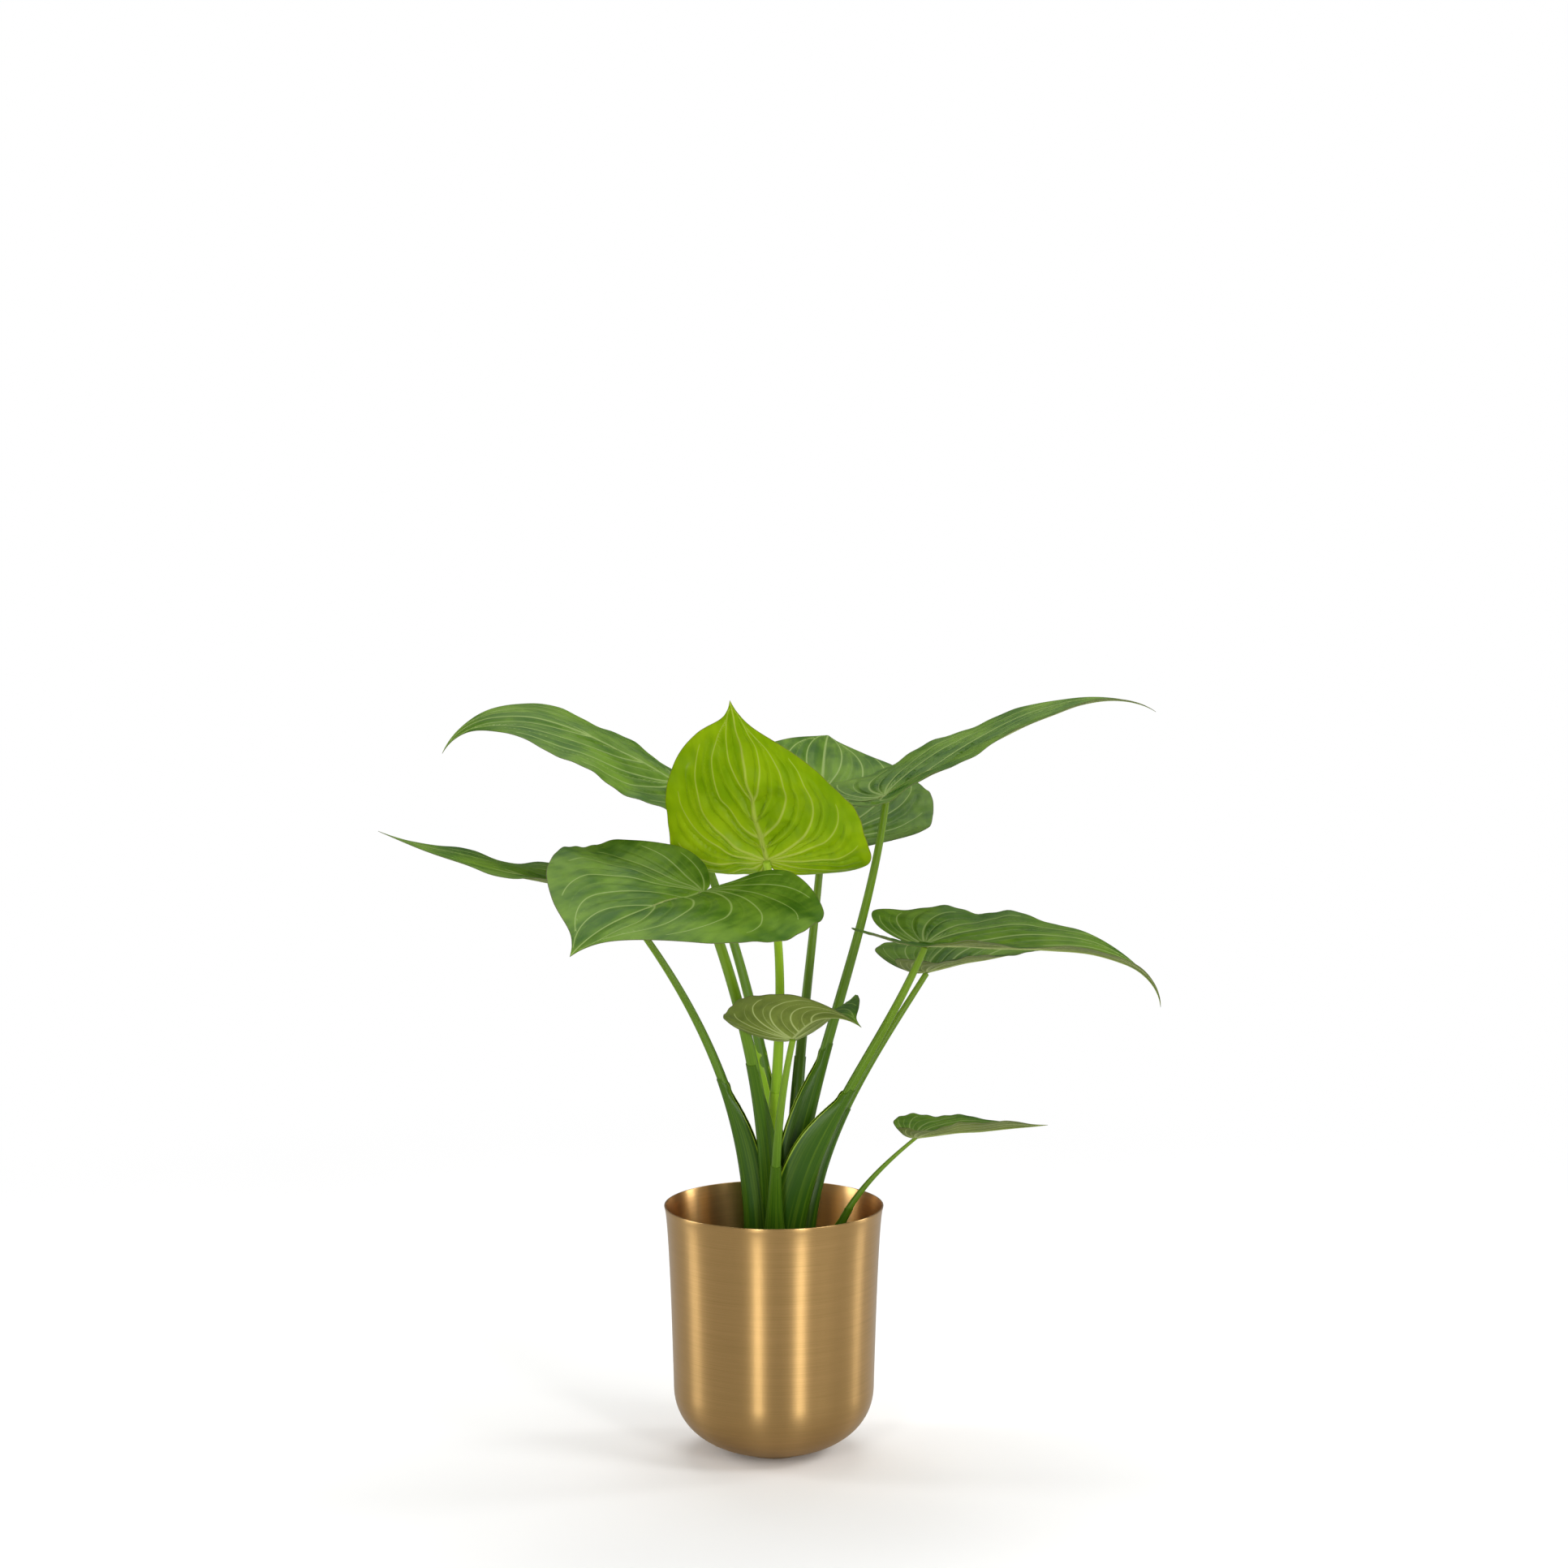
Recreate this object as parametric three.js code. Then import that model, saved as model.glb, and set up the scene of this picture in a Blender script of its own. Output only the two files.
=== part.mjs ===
// An alocasia in its growers' pot, standing in a round brushed-brass cachepot.
// Millimetres, +Z up. The origin is the centre of the cachepot's foot, on the floor.
// The plant's front, where the largest leaf leans out, faces -Y.
import * as THREE from "three";

// Cachepot: a thin metal shell with a near-straight side over a rounded bowl and a flat foot.
const POT_HEIGHT = 205;
const POT_RIM_RADIUS = 90;
const POT_BOWL_RADIUS = 82;
const POT_BOWL_HEIGHT = 57;
const POT_FOOT_RADIUS = 26;
const POT_WALL = 1.2;
const POT_FLARE_POWER = 0.48;
const POT_BOWL_POWER = 2.3;

// Growers' pot: a 15 cm tapered nursery pot that sits down in the bowl.
const GROWER_HEIGHT = 137;
const GROWER_RIM_RADIUS = 75;
const GROWER_FOOT_RADIUS = 50;
const GROWER_WALL = 1.2;
const GROWER_RIM_BAND = 9;
const GROWER_STANDS_AT = 12;
const GROWER_DRAIN_RADIUS = 6;

// Potting soil and the old stem (rhizome) that every petiole grows from.
const SOIL_TOP = 140;
const SOIL_SHOULDER = 3;
const SOIL_CLEARANCE = 0.6;
const RHIZOME_RADIUS = 35;
const RHIZOME_TOP = 143;
const RHIZOME_FOOT = 96;

// Touching pieces keep this gap.
const GAP = 0.4;

// Leaves.
const BLADE_THICKNESS = 1.2;
const BLADE_RINGS = 4;
const BLADE_EDGE_STEPS = 13;
const PETIOLE_SIDES = 10;
const PETIOLE_STEPS = 14;
const PETIOLE_TAPER_POWER = 1.3;
const ROUND_STEPS = 40;

// Each leaf: its petiole runs from root by the two handles to the junction, where the blade starts.
// Blade angles are in degrees. Heading turns from +X towards +Y, and bend is how far the midrib
// swings sideways by the tip; pitch is the rise at the junction and droop is how far it has tipped
// down by the tip; roll and twist turn the blade about the midrib. The folds lift the left and right
// halves, the curls bend them on towards their edges, and hood lifts the two back lobes. The waves
// run along the edge: height in mm, count over the length, and phase.
const LEAVES = [
  {
    name: "leaf_01",
    root: [4, 30, 143.4], handles: [[10, 30, 280], [-25, 40, 415]], junction: [-80, 50, 545],
    stemRadius: [6, 3],
    heading: 180, bend: 5, pitch: 30, droop: 95, droopPower: 3, roll: -15, twist: -10,
    fold: [5, -10], curl: [-5, -10], hood: 35, length: 215, halfWidth: 80,
    lobe: 0.25, fullness: 0.4, wave: [2.5, 3, 0.25],
  },
  {
    name: "leaf_02",
    root: [-17, -12, 143.4], handles: [[-10, -10, 265], [-55, -15, 370]], junction: [-130, -20, 465],
    stemRadius: [6, 2.5],
    heading: 190, bend: 10, pitch: 10, droop: -15, droopPower: 1.5, roll: -5, twist: -5,
    fold: [5, 0], curl: [10, -5], hood: 35, length: 195, halfWidth: 70,
    lobe: 0.25, fullness: 0.5, wave: [4, 2.5, 0.4],
  },
  {
    name: "leaf_03",
    root: [-2, 13, 143.4], handles: [[-10, 5, 265], [20, -25, 370]], junction: [-5, -65, 495],
    stemRadius: [6, 3],
    heading: -115, bend: 10, pitch: 60, droop: 5, droopPower: 2.5, roll: 5, twist: -25,
    fold: [5, 5], curl: [5, 5], hood: 60, length: 155, halfWidth: 85,
    lobe: 0.2, fullness: 0.6, wave: [2, 2.5, 0.5],
  },
  {
    name: "leaf_04",
    root: [16, 15, 143.4], handles: [[10, 20, 270], [30, 50, 380]], junction: [40, 80, 495],
    stemRadius: [6, 3],
    heading: 90, bend: -5, pitch: 30, droop: 30, droopPower: 3, roll: 0, twist: 25,
    fold: [0, 15], curl: [10, 0], hood: 40, length: 190, halfWidth: 95,
    lobe: 0.25, fullness: 0.1, wave: [2, 2.5, 0.45],
  },
  {
    name: "leaf_05",
    root: [-6, -1, 143.4], handles: [[5, -15, 250], [-20, -55, 370]], junction: [-55, -105, 475],
    stemRadius: [6.5, 4],
    heading: -130, bend: 0, pitch: -5, droop: 30, droopPower: 3, roll: -10, twist: -10,
    fold: [20, 0], curl: [-35, 10], hood: 40, length: 155, halfWidth: 115,
    lobe: 0.25, fullness: 0.55, wave: [1.5, 2.5, 0.2],
  },
  {
    name: "leaf_06",
    root: [1, -22, 143.4], handles: [[0, -25, 215], [0, -50, 280]], junction: [15, -75, 355],
    stemRadius: [5.5, 2.5],
    heading: -60, bend: 25, pitch: 35, droop: 65, droopPower: 2, roll: -10, twist: -10,
    fold: [25, 15], curl: [15, 5], hood: 25, length: 85, halfWidth: 60,
    lobe: 0.25, fullness: 0.35, wave: [1, 2.5, 0.3],
  },
  {
    name: "leaf_07",
    root: [9, 2, 143.4], handles: [[10, 0, 280], [75, 0, 405]], junction: [90, 0, 540],
    stemRadius: [6.5, 3],
    heading: 5, bend: 5, pitch: 27, droop: 60, droopPower: 4.5, roll: 0, twist: -5,
    fold: [10, 5], curl: [0, 0], hood: 50, length: 240, halfWidth: 70,
    lobe: 0.2, fullness: 0.4, wave: [2, 3, 0.55],
  },
  {
    name: "leaf_08",
    root: [15, -13, 143.4], handles: [[10, -15, 250], [85, -25, 330]], junction: [120, -45, 425],
    stemRadius: [6.5, 3],
    heading: -15, bend: 30, pitch: 0, droop: 85, droopPower: 4.5, roll: 5, twist: 0,
    fold: [10, 15], curl: [0, 0], hood: 25, length: 210, halfWidth: 75,
    lobe: 0.25, fullness: 0.15, wave: [3, 3, 0.25],
  },
  {
    name: "leaf_09",
    root: [26, 0, 143.4], handles: [[20, 5, 240], [80, 20, 320]], junction: [125, 40, 390],
    stemRadius: [5.5, 2.5],
    heading: 15, bend: 10, pitch: 10, droop: 10, droopPower: 2, roll: 0, twist: 15,
    fold: [15, 20], curl: [0, -5], hood: 40, length: 135, halfWidth: 65,
    lobe: 0.25, fullness: 0.55, wave: [1.5, 2.5, 0.45],
  },
  {
    name: "leaf_10",
    root: [41, -8, 140.4], handles: [[45, -10, 195], [75, -15, 230]], junction: [115, -20, 265],
    stemRadius: [4.5, 1.5],
    heading: 5, bend: 10, pitch: 5, droop: 5, droopPower: 2, roll: 0, twist: -10,
    fold: [10, 20], curl: [10, 0], hood: 45, length: 110, halfWidth: 40,
    lobe: 0.15, fullness: 0.35, wave: [1.5, 2.5, 0.2],
  },
];

// Half outline of a blade: forward fractions of its length and the half-width fractions there, for a
// narrow and a full-shouldered leaf, then the same for the back lobe.
const FORWARD = [1, 0.93, 0.85, 0.72, 0.54, 0.33, 0.12];
const NARROW = [0, 0.045, 0.13, 0.34, 0.65, 0.9, 1];
const FULL = [0, 0.06, 0.2, 0.58, 0.86, 0.985, 1];
const LOBE = [[0.28, 0.97], [0.72, 0.8], [1, 0.5], [0.86, 0.24], [0.42, 0.06], [0.1, 0.01]];

const brass = { color: 0xa9845a, roughness: 0.35, metalness: 1 };
const nurseryPlastic = { color: 0x2b2624, roughness: 0.6, metalness: 0 };
const darkSoil = { color: 0x33251b, roughness: 0.95, metalness: 0 };
const corkyStem = { color: 0x6b5a37, roughness: 0.85, metalness: 0 };
const stemGreen = { color: 0x5d8a2a, roughness: 0.45, metalness: 0 };
const leafGreen = { color: 0x3d7a2e, roughness: 0.35, metalness: 0 };

const object = new THREE.Group();
object.name = "alocasia_in_gold_pot";

/** Adds one named mesh with its own material. */
function addPart(name, geometry, finish) {
  const mesh = new THREE.Mesh(geometry, new THREE.MeshStandardMaterial(finish));
  mesh.name = name;
  object.add(mesh);
  return mesh;
}

/** Turns a closed profile of [radius, height] points about the Z axis. */
function turned(profile) {
  const points = profile.map(([radius, height]) => new THREE.Vector2(radius, height));
  return new THREE.LatheGeometry(points, ROUND_STEPS).rotateX(Math.PI / 2);
}

/** Points of the bowl's quarter curve, from the foot out to the side wall. */
function bowlCurve(bowlRadius, bowlHeight, steps) {
  const footAngle = Math.asin((POT_FOOT_RADIUS / POT_BOWL_RADIUS) ** (POT_BOWL_POWER / 2));
  const points = [];
  for (let i = 1; i <= steps; i += 1) {
    const angle = THREE.MathUtils.lerp(footAngle, Math.PI / 2, i / steps);
    const across = Math.sin(angle) ** (2 / POT_BOWL_POWER);
    const down = Math.cos(angle) ** (2 / POT_BOWL_POWER);
    points.push([bowlRadius * across, POT_BOWL_HEIGHT - bowlHeight * down]);
  }
  return points;
}

/** Outer radius of the side wall, which flares from the bowl up to the rim. */
function sideRadius(height) {
  const below = (POT_HEIGHT - height) / (POT_HEIGHT - POT_BOWL_HEIGHT);
  return POT_RIM_RADIUS - (POT_RIM_RADIUS - POT_BOWL_RADIUS) * below ** POT_FLARE_POWER;
}

/** The cachepot: outer shell up to the rim, then the inner shell down to the middle of the floor. */
function addCachepot() {
  const sideHeights = [95, 140, 175, 195];
  const outer = bowlCurve(POT_BOWL_RADIUS, POT_BOWL_HEIGHT, 6);
  const inner = bowlCurve(POT_BOWL_RADIUS - POT_WALL, POT_BOWL_HEIGHT - POT_WALL, 6);
  const side = sideHeights.map((height) => [sideRadius(height), height]);
  const innerSide = side.map(([radius, height]) => [radius - POT_WALL, height]);
  const rim = [
    [POT_RIM_RADIUS, POT_HEIGHT - POT_WALL / 2],
    [POT_RIM_RADIUS - POT_WALL / 2, POT_HEIGHT],
    [POT_RIM_RADIUS - POT_WALL, POT_HEIGHT - POT_WALL / 2],
  ];
  const floor = [[POT_FOOT_RADIUS, POT_WALL], [0, POT_WALL]];
  const foot = [[0, 0], [POT_FOOT_RADIUS, 0]];
  const profile = [...foot, ...outer, ...side, ...rim, ...innerSide.reverse(), ...inner.reverse(), ...floor];
  addPart("pot", turned(profile), brass);
}

/** Outer radius of the growers' pot at a height above its own foot. */
function growerRadius(height) {
  return THREE.MathUtils.lerp(GROWER_FOOT_RADIUS, GROWER_RIM_RADIUS - 3, height / GROWER_HEIGHT);
}

/** The growers' pot: tapered wall, a stepped-out rim band and one drain hole in the middle of its floor. */
function addGrowersPot() {
  const z = GROWER_STANDS_AT;
  const top = z + GROWER_HEIGHT;
  const band = top - GROWER_RIM_BAND;
  const bandRadius = growerRadius(GROWER_HEIGHT - GROWER_RIM_BAND);
  const profile = [
    [GROWER_DRAIN_RADIUS, z],
    [GROWER_FOOT_RADIUS, z],
    [bandRadius, band],
    [GROWER_RIM_RADIUS, band + 2],
    [GROWER_RIM_RADIUS, top],
    [GROWER_RIM_RADIUS - GROWER_WALL, top],
    [GROWER_RIM_RADIUS - GROWER_WALL, band + 3],
    [bandRadius - GROWER_WALL, band],
    [GROWER_FOOT_RADIUS - GROWER_WALL, z + GROWER_WALL],
    [GROWER_DRAIN_RADIUS, z + GROWER_WALL],
    [GROWER_DRAIN_RADIUS, z],
  ];
  addPart("grower_pot", turned(profile), nurseryPlastic);
}

/** The soil fills the growers' pot and has a well that the rhizome stands in. */
function addSoil() {
  const bottom = GROWER_STANDS_AT + GROWER_WALL + GAP;
  const shoulder = SOIL_TOP - SOIL_SHOULDER;
  const inside = growerRadius(shoulder - GROWER_STANDS_AT) - GROWER_WALL - SOIL_CLEARANCE;
  const profile = [
    [0, bottom],
    [GROWER_FOOT_RADIUS - GROWER_WALL - SOIL_CLEARANCE, bottom],
    [inside, shoulder],
    [inside - 12, SOIL_TOP],
    [RHIZOME_RADIUS + GAP, SOIL_TOP],
    [RHIZOME_RADIUS * 0.6 + GAP, RHIZOME_FOOT - GAP],
    [0, RHIZOME_FOOT - GAP],
  ];
  addPart("soil", turned(profile), darkSoil);
}

/** The rhizome: a stubby cone with a low crown. */
function addRhizome() {
  const profile = [
    [0, RHIZOME_FOOT],
    [RHIZOME_RADIUS * 0.6, RHIZOME_FOOT],
    [RHIZOME_RADIUS, SOIL_TOP],
    [RHIZOME_RADIUS, RHIZOME_TOP],
    [0, RHIZOME_TOP],
  ];
  addPart("rhizome", turned(profile), corkyStem);
}

/** Unit vectors along the midrib, to its left and up out of the blade, at a fraction of its length. */
function bladeFrame(leaf, fraction) {
  const heading = THREE.MathUtils.degToRad(leaf.heading + leaf.bend * fraction);
  const pitch = THREE.MathUtils.degToRad(leaf.pitch - leaf.droop * fraction ** leaf.droopPower);
  const roll = THREE.MathUtils.degToRad(leaf.roll + leaf.twist * fraction);
  const along = new THREE.Vector3(
    Math.cos(pitch) * Math.cos(heading),
    Math.cos(pitch) * Math.sin(heading),
    Math.sin(pitch),
  );
  const level = new THREE.Vector3(-Math.sin(heading), Math.cos(heading), 0);
  const left = level.applyAxisAngle(along, roll);
  const up = new THREE.Vector3().crossVectors(along, left);
  return { along, left, up };
}

/** The midrib's point at a distance from the junction, by adding up short steps along it. */
function midribPoint(leaf, distance) {
  const steps = 24;
  const point = new THREE.Vector3(...leaf.junction);
  for (let i = 0; i < steps; i += 1) {
    const fraction = ((i + 0.5) / steps) * (distance / leaf.length);
    point.addScaledVector(bladeFrame(leaf, fraction).along, distance / steps);
  }
  return point;
}

/** The blade's middle surface at a distance forward of the junction and to the left of the midrib. */
function bladePoint(leaf, forward, leftward) {
  const fraction = Math.max(forward, 0) / leaf.length;
  const { along, left, up } = bladeFrame(leaf, fraction);
  const point = midribPoint(leaf, Math.max(forward, 0));
  const back = Math.max(-forward, 0);
  const hood = THREE.MathUtils.degToRad((leaf.hood / 2) * (back / (leaf.lobe * leaf.length)));
  point.addScaledVector(along, -back * Math.cos(hood)).addScaledVector(up, back * Math.sin(hood));
  const side = leftward > 0 ? 0 : 1;
  const across = Math.abs(leftward);
  const width = across / leaf.halfWidth;
  const lift = THREE.MathUtils.degToRad(leaf.fold[side] + (leaf.curl[side] * width) / 2);
  const [waveHeight, waveCount, wavePhase] = leaf.wave;
  const turns = (waveCount * forward) / leaf.length + wavePhase + side * 0.35;
  const wave = waveHeight * width ** 2 * Math.sin(2 * Math.PI * turns);
  point.addScaledVector(left, Math.sign(leftward) * across * Math.cos(lift));
  return point.addScaledVector(up, across * Math.sin(lift) + wave);
}

/** The blade's upward normal, from two short steps across the surface. */
function bladeNormal(leaf, forward, leftward) {
  const step = 0.5;
  const side = leftward < 0 ? -step : step;
  const here = bladePoint(leaf, forward, leftward);
  const ahead = bladePoint(leaf, forward + step, leftward).sub(here);
  const beside = bladePoint(leaf, forward, leftward + side).sub(here).multiplyScalar(Math.sign(side));
  return ahead.cross(beside).normalize();
}

/** The whole outline as [forward, leftward], from the left of the notch round the tip to its right. */
function bladeOutline(leaf) {
  const shoulder = FORWARD.map((forward, i) => {
    const width = THREE.MathUtils.lerp(NARROW[i], FULL[i], leaf.fullness);
    return new THREE.Vector2(forward * leaf.length, width * leaf.halfWidth);
  });
  const lobe = LOBE.map(([back, width]) => {
    return new THREE.Vector2(-back * leaf.lobe * leaf.length, width * leaf.halfWidth);
  });
  const half = new THREE.SplineCurve([...shoulder, ...lobe]).getPoints(BLADE_EDGE_STEPS);
  const leftHalf = half.map((p) => [p.x, p.y]).reverse();
  const rightHalf = half.slice(1).map((p) => [p.x, -p.y]);
  return [...leftHalf, ...rightHalf];
}

/** A blade as a closed sheet: a fan of rings about the junction, on its top and again underneath. */
function bladeGeometry(leaf) {
  const outline = bladeOutline(leaf);
  const columns = outline.length;
  const perSide = 1 + BLADE_RINGS * columns;
  const positions = [];
  const index = [];
  for (const side of [0.5, -0.5]) {
    for (let ring = 0; ring <= BLADE_RINGS; ring += 1) {
      const scale = ring / BLADE_RINGS;
      for (const [forward, leftward] of ring === 0 ? [[0, 0]] : outline) {
        const normal = bladeNormal(leaf, forward * scale, leftward * scale);
        const point = bladePoint(leaf, forward * scale, leftward * scale);
        positions.push(...point.addScaledVector(normal, side * BLADE_THICKNESS).toArray());
      }
    }
  }
  const at = (side, ring, column) => side * perSide + (ring === 0 ? 0 : 1 + (ring - 1) * columns + column);
  const face = (side, a, b, c) => index.push(...(side === 0 ? [a, c, b] : [a, b, c]));
  for (const side of [0, 1]) {
    for (let column = 0; column < columns - 1; column += 1) {
      face(side, at(side, 0, 0), at(side, 1, column), at(side, 1, column + 1));
      for (let ring = 1; ring < BLADE_RINGS; ring += 1) {
        face(side, at(side, ring, column), at(side, ring + 1, column), at(side, ring + 1, column + 1));
        face(side, at(side, ring, column), at(side, ring + 1, column + 1), at(side, ring, column + 1));
      }
    }
  }
  const edge = edgeLoop(columns);
  edge.forEach(([ring, column], i) => {
    const [nextRing, nextColumn] = edge[(i + 1) % edge.length];
    const top = at(0, ring, column);
    const nextTop = at(0, nextRing, nextColumn);
    const under = at(1, ring, column);
    const nextUnder = at(1, nextRing, nextColumn);
    index.push(top, nextTop, nextUnder, top, nextUnder, under);
  });
  return indexedGeometry(positions, index);
}

/** The blade's edge as [ring, column]: out along the notch, round the outline and back in. */
function edgeLoop(columns) {
  const loop = [[0, 0]];
  for (let ring = 1; ring < BLADE_RINGS; ring += 1) loop.push([ring, 0]);
  for (let column = 0; column < columns; column += 1) loop.push([BLADE_RINGS, column]);
  for (let ring = BLADE_RINGS - 1; ring > 0; ring -= 1) loop.push([ring, columns - 1]);
  return loop;
}

/** A geometry from flat lists of positions and triangle corners. */
function indexedGeometry(positions, index) {
  const geometry = new THREE.BufferGeometry();
  geometry.setAttribute("position", new THREE.Float32BufferAttribute(positions, 3));
  geometry.setIndex(index);
  geometry.computeVertexNormals();
  return geometry;
}

/** The petiole's centre line, which ends just under the blade. */
function petioleCurve(leaf) {
  const { up } = bladeFrame(leaf, 0);
  const clearance = leaf.stemRadius[1] + BLADE_THICKNESS / 2 + GAP;
  const end = new THREE.Vector3(...leaf.junction).addScaledVector(up, -clearance);
  const [first, second] = leaf.handles;
  return new THREE.CubicBezierCurve3(
    new THREE.Vector3(...leaf.root),
    new THREE.Vector3(...first),
    new THREE.Vector3(...second),
    end,
  );
}

/** A petiole: a round stem that tapers from its base to the blade, closed at both ends. */
function petioleGeometry(leaf) {
  const curve = petioleCurve(leaf);
  const [baseRadius, topRadius] = leaf.stemRadius;
  const frames = curve.computeFrenetFrames(PETIOLE_STEPS, false);
  const positions = [];
  const index = [];
  for (let step = 0; step <= PETIOLE_STEPS; step += 1) {
    const u = step / PETIOLE_STEPS;
    const radius = topRadius + (baseRadius - topRadius) * (1 - u) ** PETIOLE_TAPER_POWER;
    const centre = curve.getPointAt(u);
    for (let k = 0; k < PETIOLE_SIDES; k += 1) {
      const angle = (2 * Math.PI * k) / PETIOLE_SIDES;
      const point = centre.clone().addScaledVector(frames.normals[step], radius * Math.cos(angle));
      point.addScaledVector(frames.binormals[step], radius * Math.sin(angle));
      if (step === 0) point.z = leaf.root[2];
      positions.push(...point.toArray());
    }
  }
  for (let step = 0; step < PETIOLE_STEPS; step += 1) {
    for (let k = 0; k < PETIOLE_SIDES; k += 1) {
      const a = step * PETIOLE_SIDES + k;
      const b = step * PETIOLE_SIDES + ((k + 1) % PETIOLE_SIDES);
      index.push(a, b, b + PETIOLE_SIDES, a, b + PETIOLE_SIDES, a + PETIOLE_SIDES);
    }
  }
  const last = PETIOLE_STEPS * PETIOLE_SIDES;
  for (let k = 1; k < PETIOLE_SIDES - 1; k += 1) {
    index.push(0, k + 1, k);
    index.push(last, last + k, last + k + 1);
  }
  return indexedGeometry(positions, index);
}

addCachepot();
addGrowersPot();
addSoil();
addRhizome();
for (const leaf of LEAVES) {
  addPart(`${leaf.name}_petiole`, petioleGeometry(leaf), stemGreen);
  addPart(`${leaf.name}_blade`, bladeGeometry(leaf), leafGreen);
}

export default object;
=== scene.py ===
"""An alocasia in its nursery pot, standing in a brushed brass cachepot.

Sizes in the classes are millimetres and degrees; meshes are metres in the frame's own axes, +Z up.
Every piece is a surface worked out on a grid of two parameters, closed, and dressed with a finish.
"""

import logging
from dataclasses import dataclass, field
from enum import Enum
from math import radians

import bmesh
import bpy
import numpy as np
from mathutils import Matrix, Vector


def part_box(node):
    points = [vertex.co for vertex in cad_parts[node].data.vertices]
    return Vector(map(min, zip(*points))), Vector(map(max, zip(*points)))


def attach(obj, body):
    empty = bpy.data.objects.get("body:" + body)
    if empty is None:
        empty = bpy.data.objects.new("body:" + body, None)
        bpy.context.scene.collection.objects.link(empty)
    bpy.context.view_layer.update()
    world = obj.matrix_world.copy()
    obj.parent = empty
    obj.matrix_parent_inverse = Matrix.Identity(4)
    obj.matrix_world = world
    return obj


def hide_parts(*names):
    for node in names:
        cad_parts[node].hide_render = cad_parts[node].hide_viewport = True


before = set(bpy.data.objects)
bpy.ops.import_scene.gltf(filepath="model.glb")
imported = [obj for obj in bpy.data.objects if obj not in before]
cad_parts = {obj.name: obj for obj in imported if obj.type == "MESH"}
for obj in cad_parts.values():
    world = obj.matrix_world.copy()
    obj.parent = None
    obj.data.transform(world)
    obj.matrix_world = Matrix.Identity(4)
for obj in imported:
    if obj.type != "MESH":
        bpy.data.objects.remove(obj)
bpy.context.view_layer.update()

logging.basicConfig(level=logging.INFO, format="%(message)s")
log = logging.getLogger("alocasia")

MM = 0.001
MERGE_DISTANCE = 1e-7
SHARP_EDGE = radians(50)
LATTICE = 64
WHITE = (1.0, 1.0, 1.0, 1.0)
Colour = tuple[float, float, float, float]
Socket = bpy.types.NodeSocket


class Age(Enum):
    """Which greens a leaf takes and how clear it is; the value is its blade's slot. The paler set is
    brightened with painted light through a backlit leaf; on the young leaf_03 it is partly the leaf's own
    paler green.
    """

    MATURE = "blade"
    # Paler greens: painted light through a backlit leaf, partly a young leaf's own paler green.
    PALE_AND_BACKLIT = "blade_young"


# ---------------------------------------------------------------- surfaces


def unit(vectors: np.ndarray) -> np.ndarray:
    """Scales vectors to length one.

    Args:
        vectors: an array whose last axis is x, y, z.

    Returns:
        The same directions; a vector of no length stays as it is.
    """
    length = np.linalg.norm(vectors, axis=-1, keepdims=True)
    return vectors / np.maximum(length, 1e-12)


def value_noise(x: np.ndarray, y: np.ndarray, cell: float, seed: int) -> np.ndarray:
    """Smooth lumps: random heights on a square lattice, blended by smoothstep between its corners.

    Args:
        x: first coordinates, in millimetres.
        y: second coordinates, in millimetres.
        cell: the lattice's spacing, in millimetres.
        seed: chooses the lattice, so that each run is the same.

    Returns:
        Values from -1 to 1.
    """
    lattice = np.random.default_rng(seed).uniform(-1.0, 1.0, (LATTICE, LATTICE))
    column, row = np.floor(x / cell).astype(int), np.floor(y / cell).astype(int)
    along, across = x / cell - column, y / cell - row
    along, across = along**2 * (3 - 2 * along), across**2 * (3 - 2 * across)
    left, right, near, far = column % LATTICE, (column + 1) % LATTICE, row % LATTICE, (row + 1) % LATTICE
    front = lattice[near, left] * (1 - along) + lattice[near, right] * along
    back = lattice[far, left] * (1 - along) + lattice[far, right] * along
    return front * (1 - across) + back * across


@dataclass
class Surface:
    """Vertices in millimetres, four-cornered faces, a UV for each vertex and named values on them."""

    vertices: np.ndarray
    faces: np.ndarray
    uv: np.ndarray
    values: dict[str, np.ndarray] = field(default_factory=dict)

    def to_piece(self, name: str, slot: str, finish: "Finish") -> bpy.types.Object:
        """Makes the mesh, merges its seams and poles, and hangs it on the frame.

        Args:
            name: the piece's name.
            slot: the record's material slot name; not used.
            finish: what it is dressed with.

        Returns:
            The piece, riding on the frame's one body.
        """
        mesh = bpy.data.meshes.new(name)
        mesh.from_pydata((self.vertices * MM).tolist(), [], self.faces.tolist())
        corners = np.empty(len(mesh.loops), np.int32)
        mesh.loops.foreach_get("vertex_index", corners)
        layer = mesh.uv_layers.new(name="UVMap")
        layer.data.foreach_set("uv", self.uv[corners].astype(np.float32).ravel())
        for label, values in self.values.items():
            attribute = mesh.attributes.new(label, "FLOAT", "POINT")
            attribute.data.foreach_set("value", values.astype(np.float32).ravel())
        merged = bmesh.new()
        merged.from_mesh(mesh)
        bmesh.ops.remove_doubles(merged, verts=merged.verts, dist=MERGE_DISTANCE)
        merged.to_mesh(mesh)
        merged.free()
        mesh.shade_smooth()
        mesh.set_sharp_from_angle(angle=SHARP_EDGE)
        mesh.materials.append(finish.material())
        piece = bpy.data.objects.new(name, mesh)
        bpy.context.scene.collection.objects.link(piece)
        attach(piece, "root")
        log.info("%s: %d faces", name, len(mesh.polygons))
        return piece


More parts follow.
